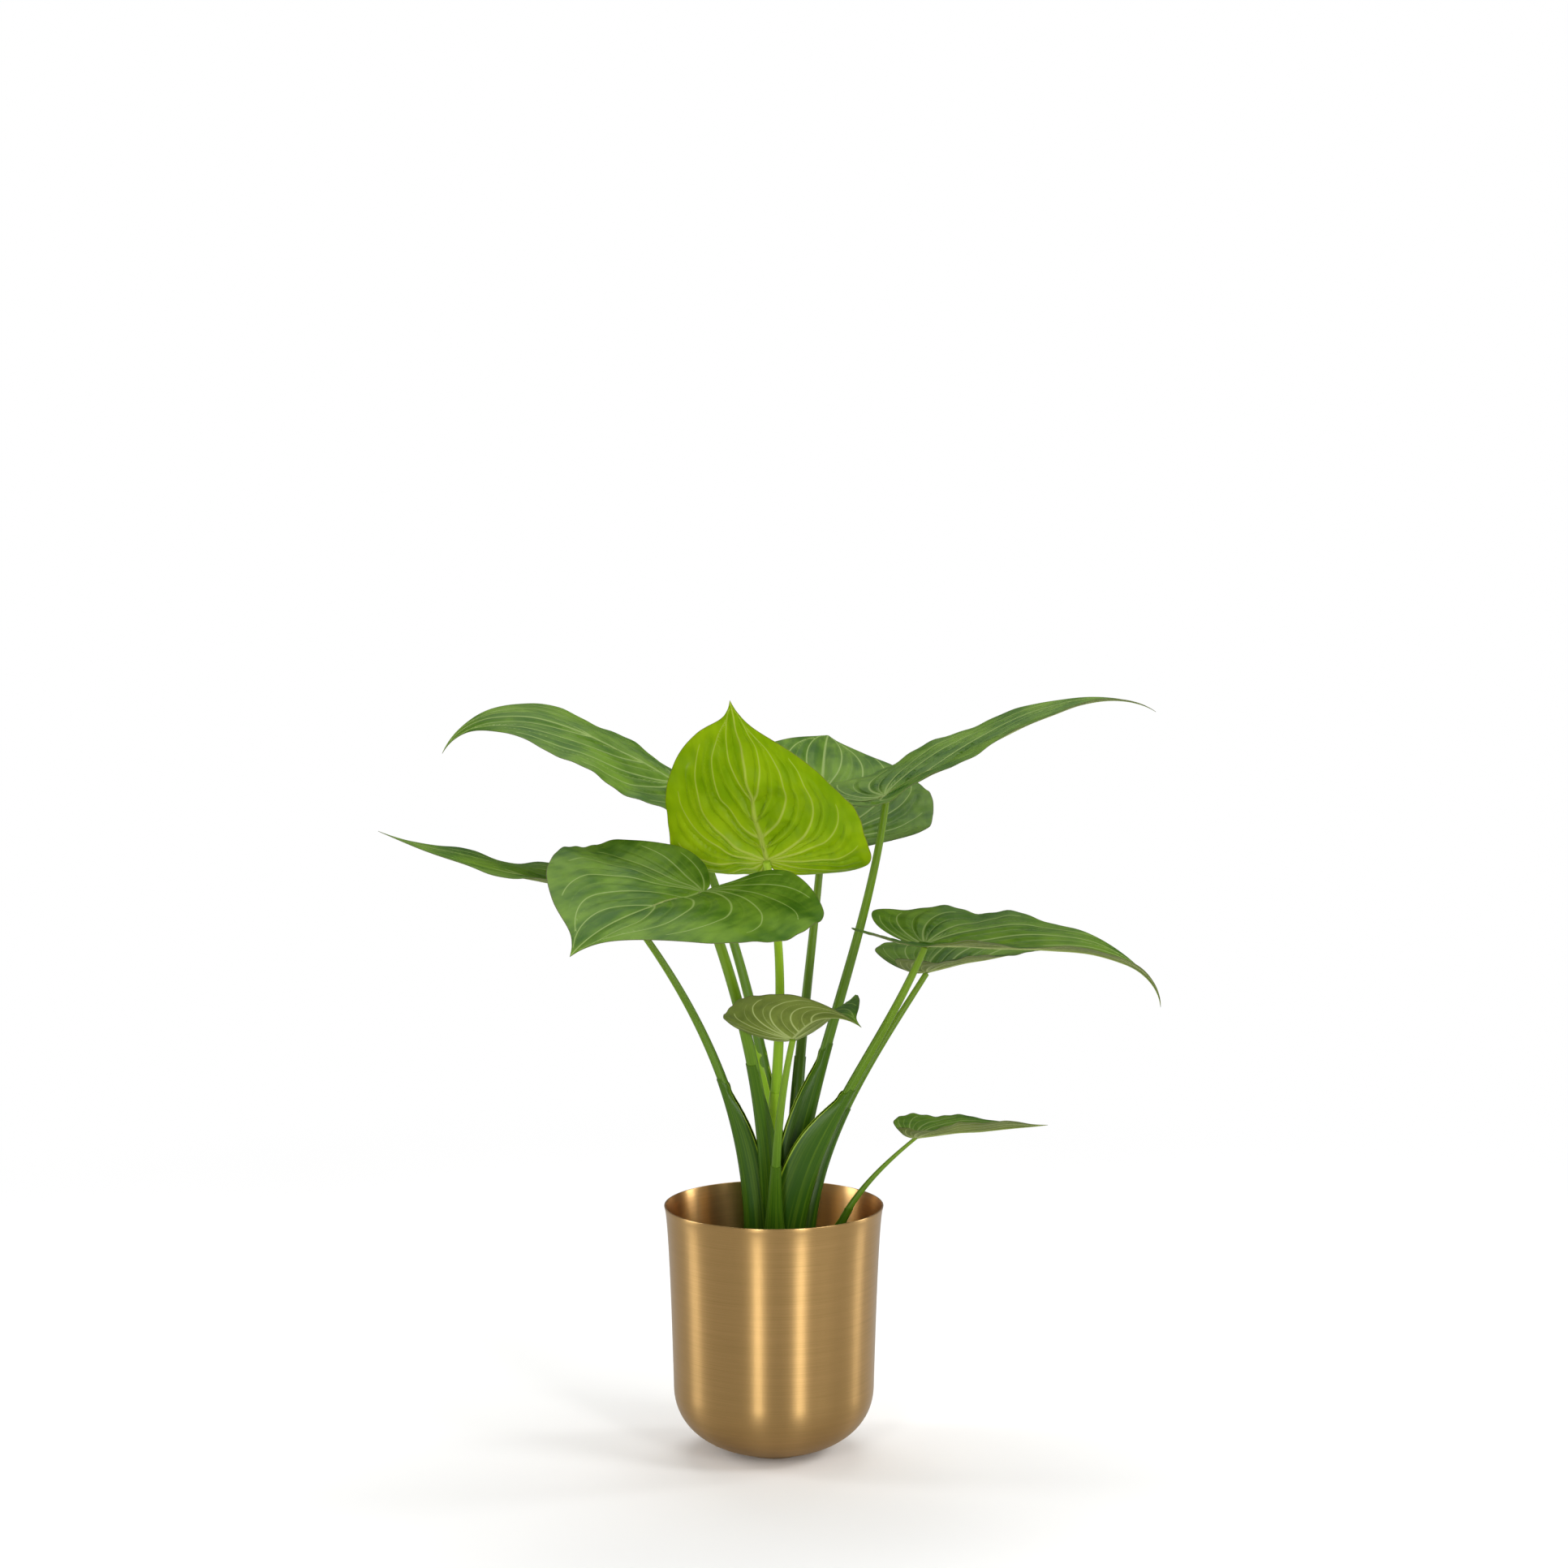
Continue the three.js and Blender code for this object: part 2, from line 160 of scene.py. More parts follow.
def grid_faces(rows: int, columns: int, start: int = 0, reverse: bool = False) -> np.ndarray:
    """Quads of a grid whose vertices are numbered row by row.

    Args:
        rows: how many rows of vertices.
        columns: how many vertices a row has.
        start: the first vertex's number.
        reverse: turns the faces round.

    Returns:
        One row of four vertex numbers for each quad; it faces along (row step) x (column step).
    """
    number = np.arange(rows * columns).reshape(rows, columns) + start
    corners = [number[:-1, :-1], number[1:, :-1], number[1:, 1:], number[:-1, 1:]]
    quads = np.stack(corners, -1).reshape(-1, 4)
    return quads[:, ::-1] if reverse else quads


def single_sheet(points: np.ndarray, uv: np.ndarray, values: dict | None = None) -> Surface:
    """A grid that closes on itself once its seam and poles are merged, such as a turned shape."""
    rows, columns = points.shape[:2]
    flat = {label: value.reshape(-1) for label, value in (values or {}).items()}
    return Surface(points.reshape(-1, 3), grid_faces(rows, columns), uv.reshape(-1, 2), flat)


def sheet_normals(middle: np.ndarray, pole: bool) -> np.ndarray:
    """Unit normals of a grid, by crossing its row steps with its column steps.

    Args:
        middle: the grid's points.
        pole: True if the first row is one point, which then takes the next rows' mean normal.

    Returns:
        One normal for each point.
    """
    normals = unit(np.cross(np.gradient(middle, axis=0), np.gradient(middle, axis=1)))
    if pole:
        normals[0] = unit(normals[1:4].mean(axis=(0, 1)))
    return normals


def thick_sheet(
    middle: np.ndarray,
    above: np.ndarray,
    below: np.ndarray,
    uv: np.ndarray,
    values: dict[str, np.ndarray],
    pole: bool = False,
) -> Surface:
    """Gives a sheet its two faces, above and below its middle along its normals, and closes its edges.

    Args:
        middle: the grid of middle points.
        above: how far the upper face stands off, at each point.
        below: how far the lower face stands off, at each point.
        uv: the grid's UV.
        values: named values, which both faces carry; "upper" is added, 1 on the upper face.
        pole: True if the first row is one point.

    Returns:
        The closed sheet.
    """
    rows, columns = middle.shape[:2]
    normals = sheet_normals(middle, pole)
    top = middle + normals * above[..., None]
    bottom = middle - normals * below[..., None]
    count = rows * columns
    number = np.arange(count).reshape(rows, columns)

    def rim(first: np.ndarray, second: np.ndarray) -> np.ndarray:
        """Quads from an edge of the upper face, run from second to first, down to the lower face."""
        return np.stack([second, first, first + count, second + count], -1)

    edges = [
        rim(number[-1, :-1], number[-1, 1:]),
        rim(number[:-1, 0], number[1:, 0]),
        rim(number[1:, -1], number[:-1, -1]),
    ]
    if not pole:
        edges.append(rim(number[0, 1:], number[0, :-1]))
    faces = np.concatenate(
        [grid_faces(rows, columns), grid_faces(rows, columns, count, reverse=True), *edges]
    )
    both = {label: np.tile(value.reshape(-1), 2) for label, value in values.items()}
    both["upper"] = np.repeat([1.0, 0.0], count)
    points = np.concatenate([top.reshape(-1, 3), bottom.reshape(-1, 3)])
    return Surface(points, faces, np.tile(uv.reshape(-1, 2), (2, 1)), both)


def turned(profile: np.ndarray, steps: int) -> tuple[np.ndarray, np.ndarray]:
    """Turns a profile about the Z axis: (radius, height) goes to (radius cos, radius sin, height).

    Args:
        profile: rows of radius and height, up the outside and down the inside.
        steps: how many steps the circle has.

    Returns:
        The grid of points and its UV, u round the axis and v along the profile in millimetres.
    """
    angle = -np.linspace(0.0, 2 * np.pi, steps + 1)
    angle[-1] = 0.0
    radius, height = profile[:, :1], profile[:, 1:]
    level = np.broadcast_to(height, (len(profile), steps + 1))
    points = np.stack([radius * np.cos(angle), radius * np.sin(angle), level], -1)
    run = np.concatenate([[0.0], np.cumsum(np.linalg.norm(np.diff(profile, axis=0), axis=1))])
    u, v = np.meshgrid(np.linspace(0.0, 1.0, steps + 1), run)
    return points, np.stack([u, v], -1)


def fine_profile(profile: list[tuple[float, float]], step: float) -> np.ndarray:
    """Adds points to a profile so that none of its straight stretches is longer than a step."""
    points = np.array(profile)
    run = np.concatenate([[0.0], np.cumsum(np.linalg.norm(np.diff(points, axis=0), axis=1))])
    extra = np.arange(0.0, run[-1], step)
    places = np.unique(np.round(np.concatenate([run, extra]), 4))
    return np.stack([np.interp(places, run, points[:, axis]) for axis in (0, 1)], -1)


def bezier(knots: list[np.ndarray] | np.ndarray, steps: int) -> np.ndarray:
    """Points of the cubic Bezier curve of four knots, at even steps of its parameter."""
    u = np.linspace(0, 1, steps)[:, None]
    weights = [(1 - u) ** 3, 3 * u * (1 - u) ** 2, 3 * u**2 * (1 - u), u**3]
    return sum(weight * knot for weight, knot in zip(weights, knots))


# ---------------------------------------------------------------- finishes


class Board:
    """The nodes of a material or a world, added one at a time, each wired as it is made."""

    def __init__(self, owner: bpy.types.Material | bpy.types.World) -> None:
        """Empties the nodes of a new material or world."""
        owner.use_nodes = True
        self.owner = owner
        self.tree = owner.node_tree
        self.tree.nodes.clear()

    def add(self, kind: str, inputs: dict | None = None, **settings: object) -> bpy.types.Node:
        """Adds a node.

        Args:
            kind: its type's name, without the leading ShaderNode.
            inputs: what goes into its sockets: a socket is wired, and anything else is set.
            settings: the node's own options.

        Returns:
            The node.
        """
        node = self.tree.nodes.new("ShaderNode" + kind)
        for option, value in settings.items():
            setattr(node, option, value)
        for socket, value in (inputs or {}).items():
            if isinstance(value, Socket):
                self.tree.links.new(value, node.inputs[socket])
            else:
                node.inputs[socket].default_value = value
        return node

    def value(self, name: str) -> Socket:
        """The piece's own value of that name."""
        return self.add("Attribute", attribute_name=name).outputs["Fac"]

    def ramp(self, factor: Socket, stops: list[tuple[float, Colour]]) -> Socket:
        """Colours by a value.

        Args:
            factor: the value.
            stops: each stop's place and colour, lowest first.

        Returns:
            The colour.
        """
        node = self.add("ValToRGB", {"Fac": factor})
        node.color_ramp.elements[0].position, node.color_ramp.elements[0].color = stops[0]
        node.color_ramp.elements[1].position, node.color_ramp.elements[1].color = stops[-1]
        for place, colour in stops[1:-1]:
            node.color_ramp.elements.new(place).color = colour
        return node.outputs["Color"]

    def band(self, value: Socket, low: float, high: float) -> Socket:
        """Smoothly maps a value from low (gives 0) to high (gives 1)."""
        inputs = {"Value": value, "From Min": low, "From Max": high}
        node = self.add("MapRange", inputs, interpolation_type="SMOOTHSTEP")
        return node.outputs["Result"]

    def mix(self, factor: object, first: object, second: object) -> Socket:
        """A colour between two, by a factor from 0 to 1."""
        node = self.add("Mix", data_type="RGBA")
        pairs = ((node.inputs[0], factor), (node.inputs[6], first), (node.inputs[7], second))
        for socket, value in pairs:
            if isinstance(value, Socket):
                self.tree.links.new(value, socket)
            else:
                socket.default_value = value
        return node.outputs[2]

    def math(self, operation: str, first: object, second: object = 0.0) -> Socket:
        """The result of one sum on two values."""
        return self.add("Math", {0: first, 1: second}, operation=operation).outputs[0]

    def total(self, first: Socket, first_share: float, second: Socket, second_share: float) -> Socket:
        """Two values added, each times its share."""
        shares = ((first, first_share), (second, second_share))
        return self.math("ADD", *[self.math("MULTIPLY", value, share) for value, share in shares])

    def line(self, value: Socket, gain: float, start: float) -> Socket:
        """A value times a gain, plus a start."""
        inputs = {0: value, 1: gain, 2: start}
        return self.add("Math", inputs, operation="MULTIPLY_ADD").outputs[0]

    def noise(self, vector: Socket, scale: float, detail: float = 3.0) -> Socket:
        """Noise of a given scale on a vector, about 0 to 1."""
        node = self.add("TexNoise", {"Vector": vector, "Scale": scale, "Detail": detail})
        return node.outputs["Fac"]

    def stretched(self, vector: Socket, scale: tuple[float, float, float]) -> Socket:
        """A vector scaled apart along its three axes."""
        return self.add("Mapping", {"Vector": vector, "Scale": scale}).outputs["Vector"]

    def place(self, output: str = "Object") -> Socket:
        """The piece's Object coordinates, or its UV."""
        return self.add("TexCoord").outputs[output]

    def bump(self, height: Socket, distance: float, strength: float = 1.0) -> Socket:
        """A normal bent by a height, of that many metres."""
        inputs = {"Height": height, "Distance": distance, "Strength": strength}
        return self.add("Bump", inputs).outputs["Normal"]

    def finish(self, shader: bpy.types.Node) -> bpy.types.Material:
        """Wires the shader to the output and gives the material."""
        self.add("OutputMaterial", {"Surface": shader.outputs[0]})
        return self.owner

    def blend(self, factor: object, first: bpy.types.Node, second: bpy.types.Node) -> bpy.types.Node:
        """A shader between two, by a factor from 0 to 1."""
        return self.add("MixShader", {0: factor, 1: first.outputs[0], 2: second.outputs[0]})


class Finish:
    """A finish, which makes its material once and then gives the same one."""

    name: str

    def material(self) -> bpy.types.Material:
        """The finish's material, made at its first use."""
        found = bpy.data.materials.get(self.name)
        return found or self.make()

    def make(self) -> bpy.types.Material:
        """Makes the material; each finish has its own."""
        raise NotImplementedError


@dataclass(frozen=True)
class BrushedBrass(Finish):
    """Satin brass, brushed round the pot, so that a lamp's reflection spreads up and down."""

    name: str = "brushed_brass"
    tint: Colour = (0.58, 0.362, 0.150, 1.0)
    deep_tint: Colour = (0.47, 0.300, 0.112, 1.0)
    roughness: float = 0.31
    half_spread: float = 0.055
    line_scale: tuple[float, float, float] = (7.0, 4.5, 1.0)
    streak_scale: tuple[float, float, float] = (2.0, 0.25, 1.0)
    line_height: float = 0.00002

    def make(self) -> bpy.types.Material:
        """Fine lines run along u; they vary the tint, the roughness and the surface's height."""
        board = Board(bpy.data.materials.new(self.name))
        uv = board.place("UV")
        lines = board.noise(board.stretched(uv, self.line_scale), 1.0, 6.0)
        streaks = board.noise(board.stretched(uv, self.streak_scale), 1.0, 2.0)
        clouds = board.noise(board.place(), 18.0, 2.0)
        tone = board.total(lines, 0.8, streaks, 0.2)
        colour = board.mix(board.band(tone, 0.3, 0.7), self.deep_tint, self.tint)
        spread = board.total(lines, 0.07, clouds, 0.04)
        rough = board.line(spread, 1.0, self.roughness - self.half_spread)
        tangent = board.add("Tangent", direction_type="UV_MAP", uv_map="UVMap").outputs[0]
        inputs = {
            "Base Color": colour,
            "Metallic": 1.0,
            "Roughness": rough,
            "Anisotropic": 0.85,
            "Anisotropic Rotation": 0.25,
            "Tangent": tangent,
            "Normal": board.bump(lines, self.line_height, 0.1),
        }
        return board.finish(board.add("BsdfPrincipled", inputs))


@dataclass(frozen=True)
class NurseryPlastic(Finish):
    """Thin dark recycled plastic with a faint grain and dust on it."""

    name: str = "nursery_plastic"
    tint: Colour = (0.022, 0.018, 0.016, 1.0)
    dust: Colour = (0.085, 0.066, 0.048, 1.0)

    def make(self) -> bpy.types.Material:
        """Dust clouds over the plastic, and a fine moulded grain."""
        board = Board(bpy.data.materials.new(self.name))
        place = board.place()
        dust = board.band(board.noise(place, 60.0, 5.0), 0.5, 0.75)
        inputs = {
            "Base Color": board.mix(dust, self.tint, self.dust),
            "Roughness": board.line(dust, 0.35, 0.42),
            "Normal": board.bump(board.noise(place, 900.0), 0.0002, 0.4),
        }
        return board.finish(board.add("BsdfPrincipled", inputs))


@dataclass(frozen=True)
class PottingSoil(Finish):
    """Damp peat, from nearly black to brown by each crumb's own tint, with white perlite."""

    name: str = "potting_soil"
    damp: Colour = (0.018, 0.010, 0.006, 1.0)
    dry: Colour = (0.11, 0.062, 0.032, 1.0)
    perlite: Colour = (0.78, 0.76, 0.70, 1.0)

    def make(self) -> bpy.types.Material:
        """A crumb's tint picks peat or perlite, with fine noise over both."""
        board = Board(bpy.data.materials.new(self.name))
        place = board.place()
        grain = board.noise(place, 420.0, 8.0)
        tint = board.value("tint")
        peat = board.mix(board.band(board.total(tint, 0.6, grain, 0.5), 0.2, 0.95), self.damp, self.dry)
        colour = board.mix(board.band(tint, 0.96, 0.98), peat, self.perlite)
        inputs = {"Base Color": colour, "Roughness": 0.93, "Normal": board.bump(grain, 0.0012)}
        return board.finish(board.add("BsdfPrincipled", inputs))


@dataclass(frozen=True)
class CorkyStem(Finish):
    """Brown, ringed skin of the old stem."""

    name: str = "corky_stem"
    dark: Colour = (0.06, 0.035, 0.016, 1.0)
    pale: Colour = (0.24, 0.17, 0.08, 1.0)

    def make(self) -> bpy.types.Material:
        """Flat rings of old leaf scars, broken by noise."""
        board = Board(bpy.data.materials.new(self.name))
        place = board.place()
        rings = board.noise(board.stretched(place, (40.0, 40.0, 420.0)), 1.0, 6.0)
        inputs = {
            "Base Color": board.mix(board.band(rings, 0.3, 0.7), self.dark, self.pale),
            "Roughness": 0.88,
            "Normal": board.bump(rings, 0.001),
        }
        return board.finish(board.add("BsdfPrincipled", inputs))


@dataclass(frozen=True)
class StalkSkin(Finish):
    """Smooth skin of a stalk or a sheath, striped lengthwise; v rises from the soil."""

    name: str
    base: Colour
    middle: Colour
    top: Colour
    glow: Colour
    translucency: float
    stripe: float
    roughness: float

    def make(self) -> bpy.types.Material:
        """Colours change along v, fine stripes follow it, and a value named edge pales a free edge."""
        board = Board(bpy.data.materials.new(self.name))
        uv = board.place("UV")
        run = board.add("SeparateXYZ", {0: uv}).outputs["Y"]
        stripes = board.noise(board.stretched(uv, (26.0, 1.6, 1.0)), 1.0, 3.0)
        flecks = board.noise(board.place(), 160.0, 3.0)
        along = board.ramp(run, [(0.0, self.base), (0.45, self.middle), (1.0, self.top)])
        pale = board.mix(self.stripe, along, self.glow)
        colour = board.mix(board.band(stripes, 0.42, 0.72), along, pale)
        colour = board.mix(board.band(board.value("edge"), 0.5, 1.0), colour, self.glow)
        height = board.math("ADD", stripes, board.math("MULTIPLY", flecks, 0.25))
        normal = board.bump(height, 0.0003, 0.3)
        inputs = {
            "Base Color": colour,
            "Roughness": self.roughness,
            "Specular IOR Level": 0.26,
            "Normal": normal,
        }
        skin = board.add("BsdfPrincipled", inputs)
        glow = board.add("BsdfTranslucent", {"Color": pale, "Normal": normal})
        return board.finish(board.blend(self.translucency, skin, glow))


@dataclass(frozen=True)
class BladeSkin(Finish):
    """A satin leaf blade, with its own greens above and below, pale veins and a thin margin."""

    name: str
    upper: Colour
    upper_light: Colour
    lower: Colour
    lower_light: Colour
    vein_above: Colour
    vein_below: Colour
    margin: Colour
    glow: Colour
    translucency: float
    roughness: float
    vein_strength: float

    def vein_line(self, board: Board) -> Socket:
        """A vein's clearness on it, and 0 off it: both distances have to be near nought."""
        sharp = board.band(board.math("ABSOLUTE", board.value("vein_side")), 1.3, 0.4)
        near = board.math("MULTIPLY", sharp, board.band(board.value("vein_gap"), 4.0, 2.0))
        return board.math("MULTIPLY", near, board.value("vein_main"))

    def face(self, board: Board, shade: Socket, above: bool) -> Socket:
        """One face's colour.

        Args:
            board: the material's nodes.
            shade: 0 where the blade is darker and 1 where it is lighter.
            above: True for the upper face.

        Returns:
            The colour, veins included.
        """
        dark, light = (self.upper, self.upper_light) if above else (self.lower, self.lower_light)
        vein = self.vein_above if above else self.vein_below
        body = board.mix(shade, dark, light)
        line = self.vein_line(board)
        halo = board.math("MULTIPLY", board.band(board.value("vein_gap"), 5.0, 0.5), 0.30)
        near = board.mix(halo, body, light)
        return board.mix(board.math("MULTIPLY", line, self.vein_strength), near, vein)

    def make(self) -> bpy.types.Material:
        """Clouded greens, veins by their distance, cross veinlets, a margin and light through."""
        board = Board(bpy.data.materials.new(self.name))
        place, uv = board.place(), board.place("UV")
        clouds = board.noise(place, 26.0, 4.0)
        veinlets = board.noise(board.stretched(uv, (0.035, 0.16, 1.0)), 1.0, 2.0)
        grain = board.noise(place, 260.0, 3.0)
        shade = board.band(board.total(clouds, 0.7, veinlets, 0.3), 0.32, 0.68)
        upper = self.face(board, shade, above=True)
        lower = self.face(board, shade, above=False)
        colour = board.mix(board.value("upper"), lower, upper)
        rim = board.band(board.value("margin_gap"), 0.7, 0.2)
        colour = board.mix(rim, colour, self.margin)
        normal = board.bump(board.total(veinlets, 0.8, grain, 0.2), 0.0005, 0.35)
        inputs = {
            "Base Color": colour,
            "Roughness": self.roughness,
            "Specular IOR Level": 0.18,
            "Normal": normal,
        }
        skin = board.add("BsdfPrincipled", inputs)
        veined = board.mix(self.vein_line(board), self.glow, self.vein_below)
        through = board.mix(board.math("MULTIPLY", rim, 0.8), veined, self.margin)
        light = board.add("BsdfTranslucent", {"Color": through, "Normal": normal})
        return board.finish(board.blend(self.translucency, skin, light))


BRASS = BrushedBrass()
PLASTIC = NurseryPlastic()
SOIL_FINISH = PottingSoil()
CORK = CorkyStem()
STALK_FINISH = {
    Age.MATURE: StalkSkin(
        name="stalk_skin",
        base=(0.026, 0.080, 0.003, 1.0),
        middle=(0.060, 0.140, 0.004, 1.0),
        top=(0.145, 0.250, 0.008, 1.0),
        glow=(0.22, 0.38, 0.04, 1.0),
        translucency=0.10,
        stripe=0.30,
        roughness=0.38,
    ),
    # Paler stalk greens: painted light through a backlit stalk, partly a young stalk's own paler green.
    Age.PALE_AND_BACKLIT: StalkSkin(
        name="stalk_skin_pale_backlit",
        base=(0.12, 0.26, 0.012, 1.0),
        middle=(0.23, 0.42, 0.016, 1.0),
        top=(0.33, 0.50, 0.030, 1.0),
        glow=(0.42, 0.60, 0.03, 1.0),
        translucency=0.30,
        stripe=0.30,
        roughness=0.38,
    ),
}
SHEATH_FINISH = {
    Age.MATURE: StalkSkin(
        name="sheath_skin",
        base=(0.014, 0.058, 0.002, 1.0),
        middle=(0.036, 0.105, 0.003, 1.0),
        top=(0.080, 0.175, 0.005, 1.0),
        glow=(0.38, 0.56, 0.03, 1.0),
        translucency=0.26,
        stripe=0.16,
        roughness=0.30,
    ),
    # Paler sheath greens: painted light through a backlit sheath, partly a young sheath's own paler green.
    Age.PALE_AND_BACKLIT: StalkSkin(
        name="sheath_skin_pale_backlit",
        base=(0.09, 0.22, 0.010, 1.0),
        middle=(0.22, 0.42, 0.014, 1.0),
        top=(0.34, 0.55, 0.020, 1.0),
        glow=(0.50, 0.68, 0.05, 1.0),
        translucency=0.34,
        stripe=0.35,
        roughness=0.34,
    ),
}
BLADE_FINISH = {
    Age.MATURE: BladeSkin(
        name="blade_skin",
        upper=(0.034, 0.104, 0.002, 1.0),
        upper_light=(0.150, 0.270, 0.018, 1.0),
        lower=(0.100, 0.135, 0.020, 1.0),
        lower_light=(0.180, 0.225, 0.040, 1.0),
        vein_above=(0.34, 0.46, 0.14, 1.0),
        vein_below=(0.46, 0.54, 0.20, 1.0),
        margin=(0.100, 0.115, 0.030, 1.0),
        glow=(0.22, 0.48, 0.03, 1.0),
        translucency=0.22,
        roughness=0.50,
        vein_strength=0.68,
    ),
    # Paler blade greens: painted light through a backlit blade, partly a young blade's own paler green.
    Age.PALE_AND_BACKLIT: BladeSkin(
        name="blade_skin_pale_backlit",
        upper=(0.14, 0.34, 0.010, 1.0),
        upper_light=(0.22, 0.46, 0.018, 1.0),
        lower=(0.170, 0.300, 0.002, 1.0),
        lower_light=(0.360, 0.490, 0.006, 1.0),
        vein_above=(0.50, 0.65, 0.12, 1.0),
        vein_below=(0.50, 0.58, 0.10, 1.0),
        margin=(0.22, 0.24, 0.03, 1.0),
        glow=(0.46, 0.62, 0.006, 1.0),
        translucency=0.48,
        roughness=0.34,
        vein_strength=0.85,
    ),
}


# ---------------------------------------------------------------- pots and soil


@dataclass
class Cachepot:
    """The brass shell: a side that flares to the rim, a rounded bowl and a flat foot."""

    height: float = 205.0
    rim_radius: float = 90.0
    bowl_radius: float = 82.0
    bowl_height: float = 57.0
    foot_radius: float = 26.0
    wall: float = 1.2
    flare_power: float = 0.48
    bowl_power: float = 2.3
    steps: int = 192

    def bowl(self, radius: float, depth: float) -> np.ndarray:
        """A quarter of a rounded square: radius sin^(2/p), and the bowl's top less depth cos^(2/p)."""
        first = np.arcsin((self.foot_radius / self.bowl_radius) ** (self.bowl_power / 2))
        angle = np.linspace(first, np.pi / 2, 40)[1:]
        across = np.sin(angle) ** (2 / self.bowl_power)
        down = np.maximum(np.cos(angle), 0.0) ** (2 / self.bowl_power)
        return np.stack([radius * across, self.bowl_height - depth * down], -1)

    def side(self, inset: float) -> np.ndarray:
        """The side wall: rim radius less the flare times (depth below the rim)^power."""
        top = self.height - self.wall / 2
        height = np.linspace(self.bowl_height, top, 40)[1:]
        below = np.clip((self.height - height) / (self.height - self.bowl_height), 0.0, 1.0)
        radius = self.rim_radius - (self.rim_radius - self.bowl_radius) * below**self.flare_power
        return np.stack([radius - inset, height], -1)

    def profile(self) -> np.ndarray:
        """The foot, the outer shell, a rounded lip, the inner shell and the floor."""
        turn = np.linspace(0.0, np.pi, 9)[1:-1]
        middle = self.side(self.wall / 2)[-1, 0]
        lip_radius = middle + self.wall / 2 * np.cos(turn)
        lip_height = self.height - self.wall / 2 + self.wall / 2 * np.sin(turn)
        foot = np.stack([np.linspace(0.0, self.foot_radius, 8), np.zeros(8)], -1)
        floor = np.stack([np.linspace(self.foot_radius, 0.0, 8), np.full(8, self.wall)], -1)
        outside = [foot, self.bowl(self.bowl_radius, self.bowl_height), self.side(0.0)]
        inner_bowl = self.bowl(self.bowl_radius - self.wall, self.bowl_height - self.wall)
        inside = [self.side(self.wall)[::-1], inner_bowl[::-1], floor]
        return np.concatenate([*outside, np.stack([lip_radius, lip_height], -1), *inside])

    def build(self) -> None:
        """Turns the shell in place of the CAD pot."""
        points, uv = turned(self.profile(), self.steps)
        piece = single_sheet(points, uv).to_piece("cachepot_shell", "pot", BRASS)
        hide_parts("pot")


@dataclass
class GrowersPot:
    """The nursery pot: a tapered wall with fine ribs, a stepped-out rim band and a drain hole."""

    height: float = 137.0
    rim_radius: float = 75.0
    foot_radius: float = 50.0
    wall: float = 1.2
    rim_band: float = 9.0
    band_step: float = 3.0
    drain_radius: float = 6.0
    ribs: int = 48
    rib_height: float = 0.3
    rib_fade: tuple[float, float] = (4.0, 6.0)
    profile_step: float = 4.0
    steps: int = 192

    def build(self) -> None:
        """Turns the wall at the CAD pot's own height, and waves it by ribs below the band."""
        low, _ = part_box("grower_pot")
        z = low.z / MM
        top, band = z + self.height, z + self.height - self.rim_band
        share = (self.height - self.rim_band) / self.height
        neck = self.foot_radius + (self.rim_radius - self.band_step - self.foot_radius) * share
        profile = fine_profile(
            [
                (self.drain_radius, z),
                (self.foot_radius - 1, z),
                (self.foot_radius, z + 1),
                (neck, band),
                (self.rim_radius, band + 2),
                (self.rim_radius, top - 0.4),
                (self.rim_radius - 0.4, top),
                (self.rim_radius - self.wall + 0.3, top),
                (self.rim_radius - self.wall, top - 0.4),
                (self.rim_radius - self.wall, band + 3),
                (neck - self.wall, band),
                (self.foot_radius - self.wall, z + self.wall),
                (self.drain_radius, z + self.wall),
                (self.drain_radius, z),
            ],
            self.profile_step,
        )
        points, uv = turned(profile, self.steps)
        height = points[..., 2]
        clear, fade = self.rib_fade
        ribbed = np.clip((height - z - clear) / fade, 0, 1) * np.clip((band - clear - height) / fade, 0, 1)
        angle = 2 * np.pi * uv[..., 0]
        swell = 1 - self.rib_height * ribbed * (0.5 + 0.5 * np.cos(self.ribs * angle)) / self.rim_radius
        points[..., :2] *= swell[..., None]
        piece = single_sheet(points, uv).to_piece("nursery_pot", "grower_pot", PLASTIC)
        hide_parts("grower_pot")


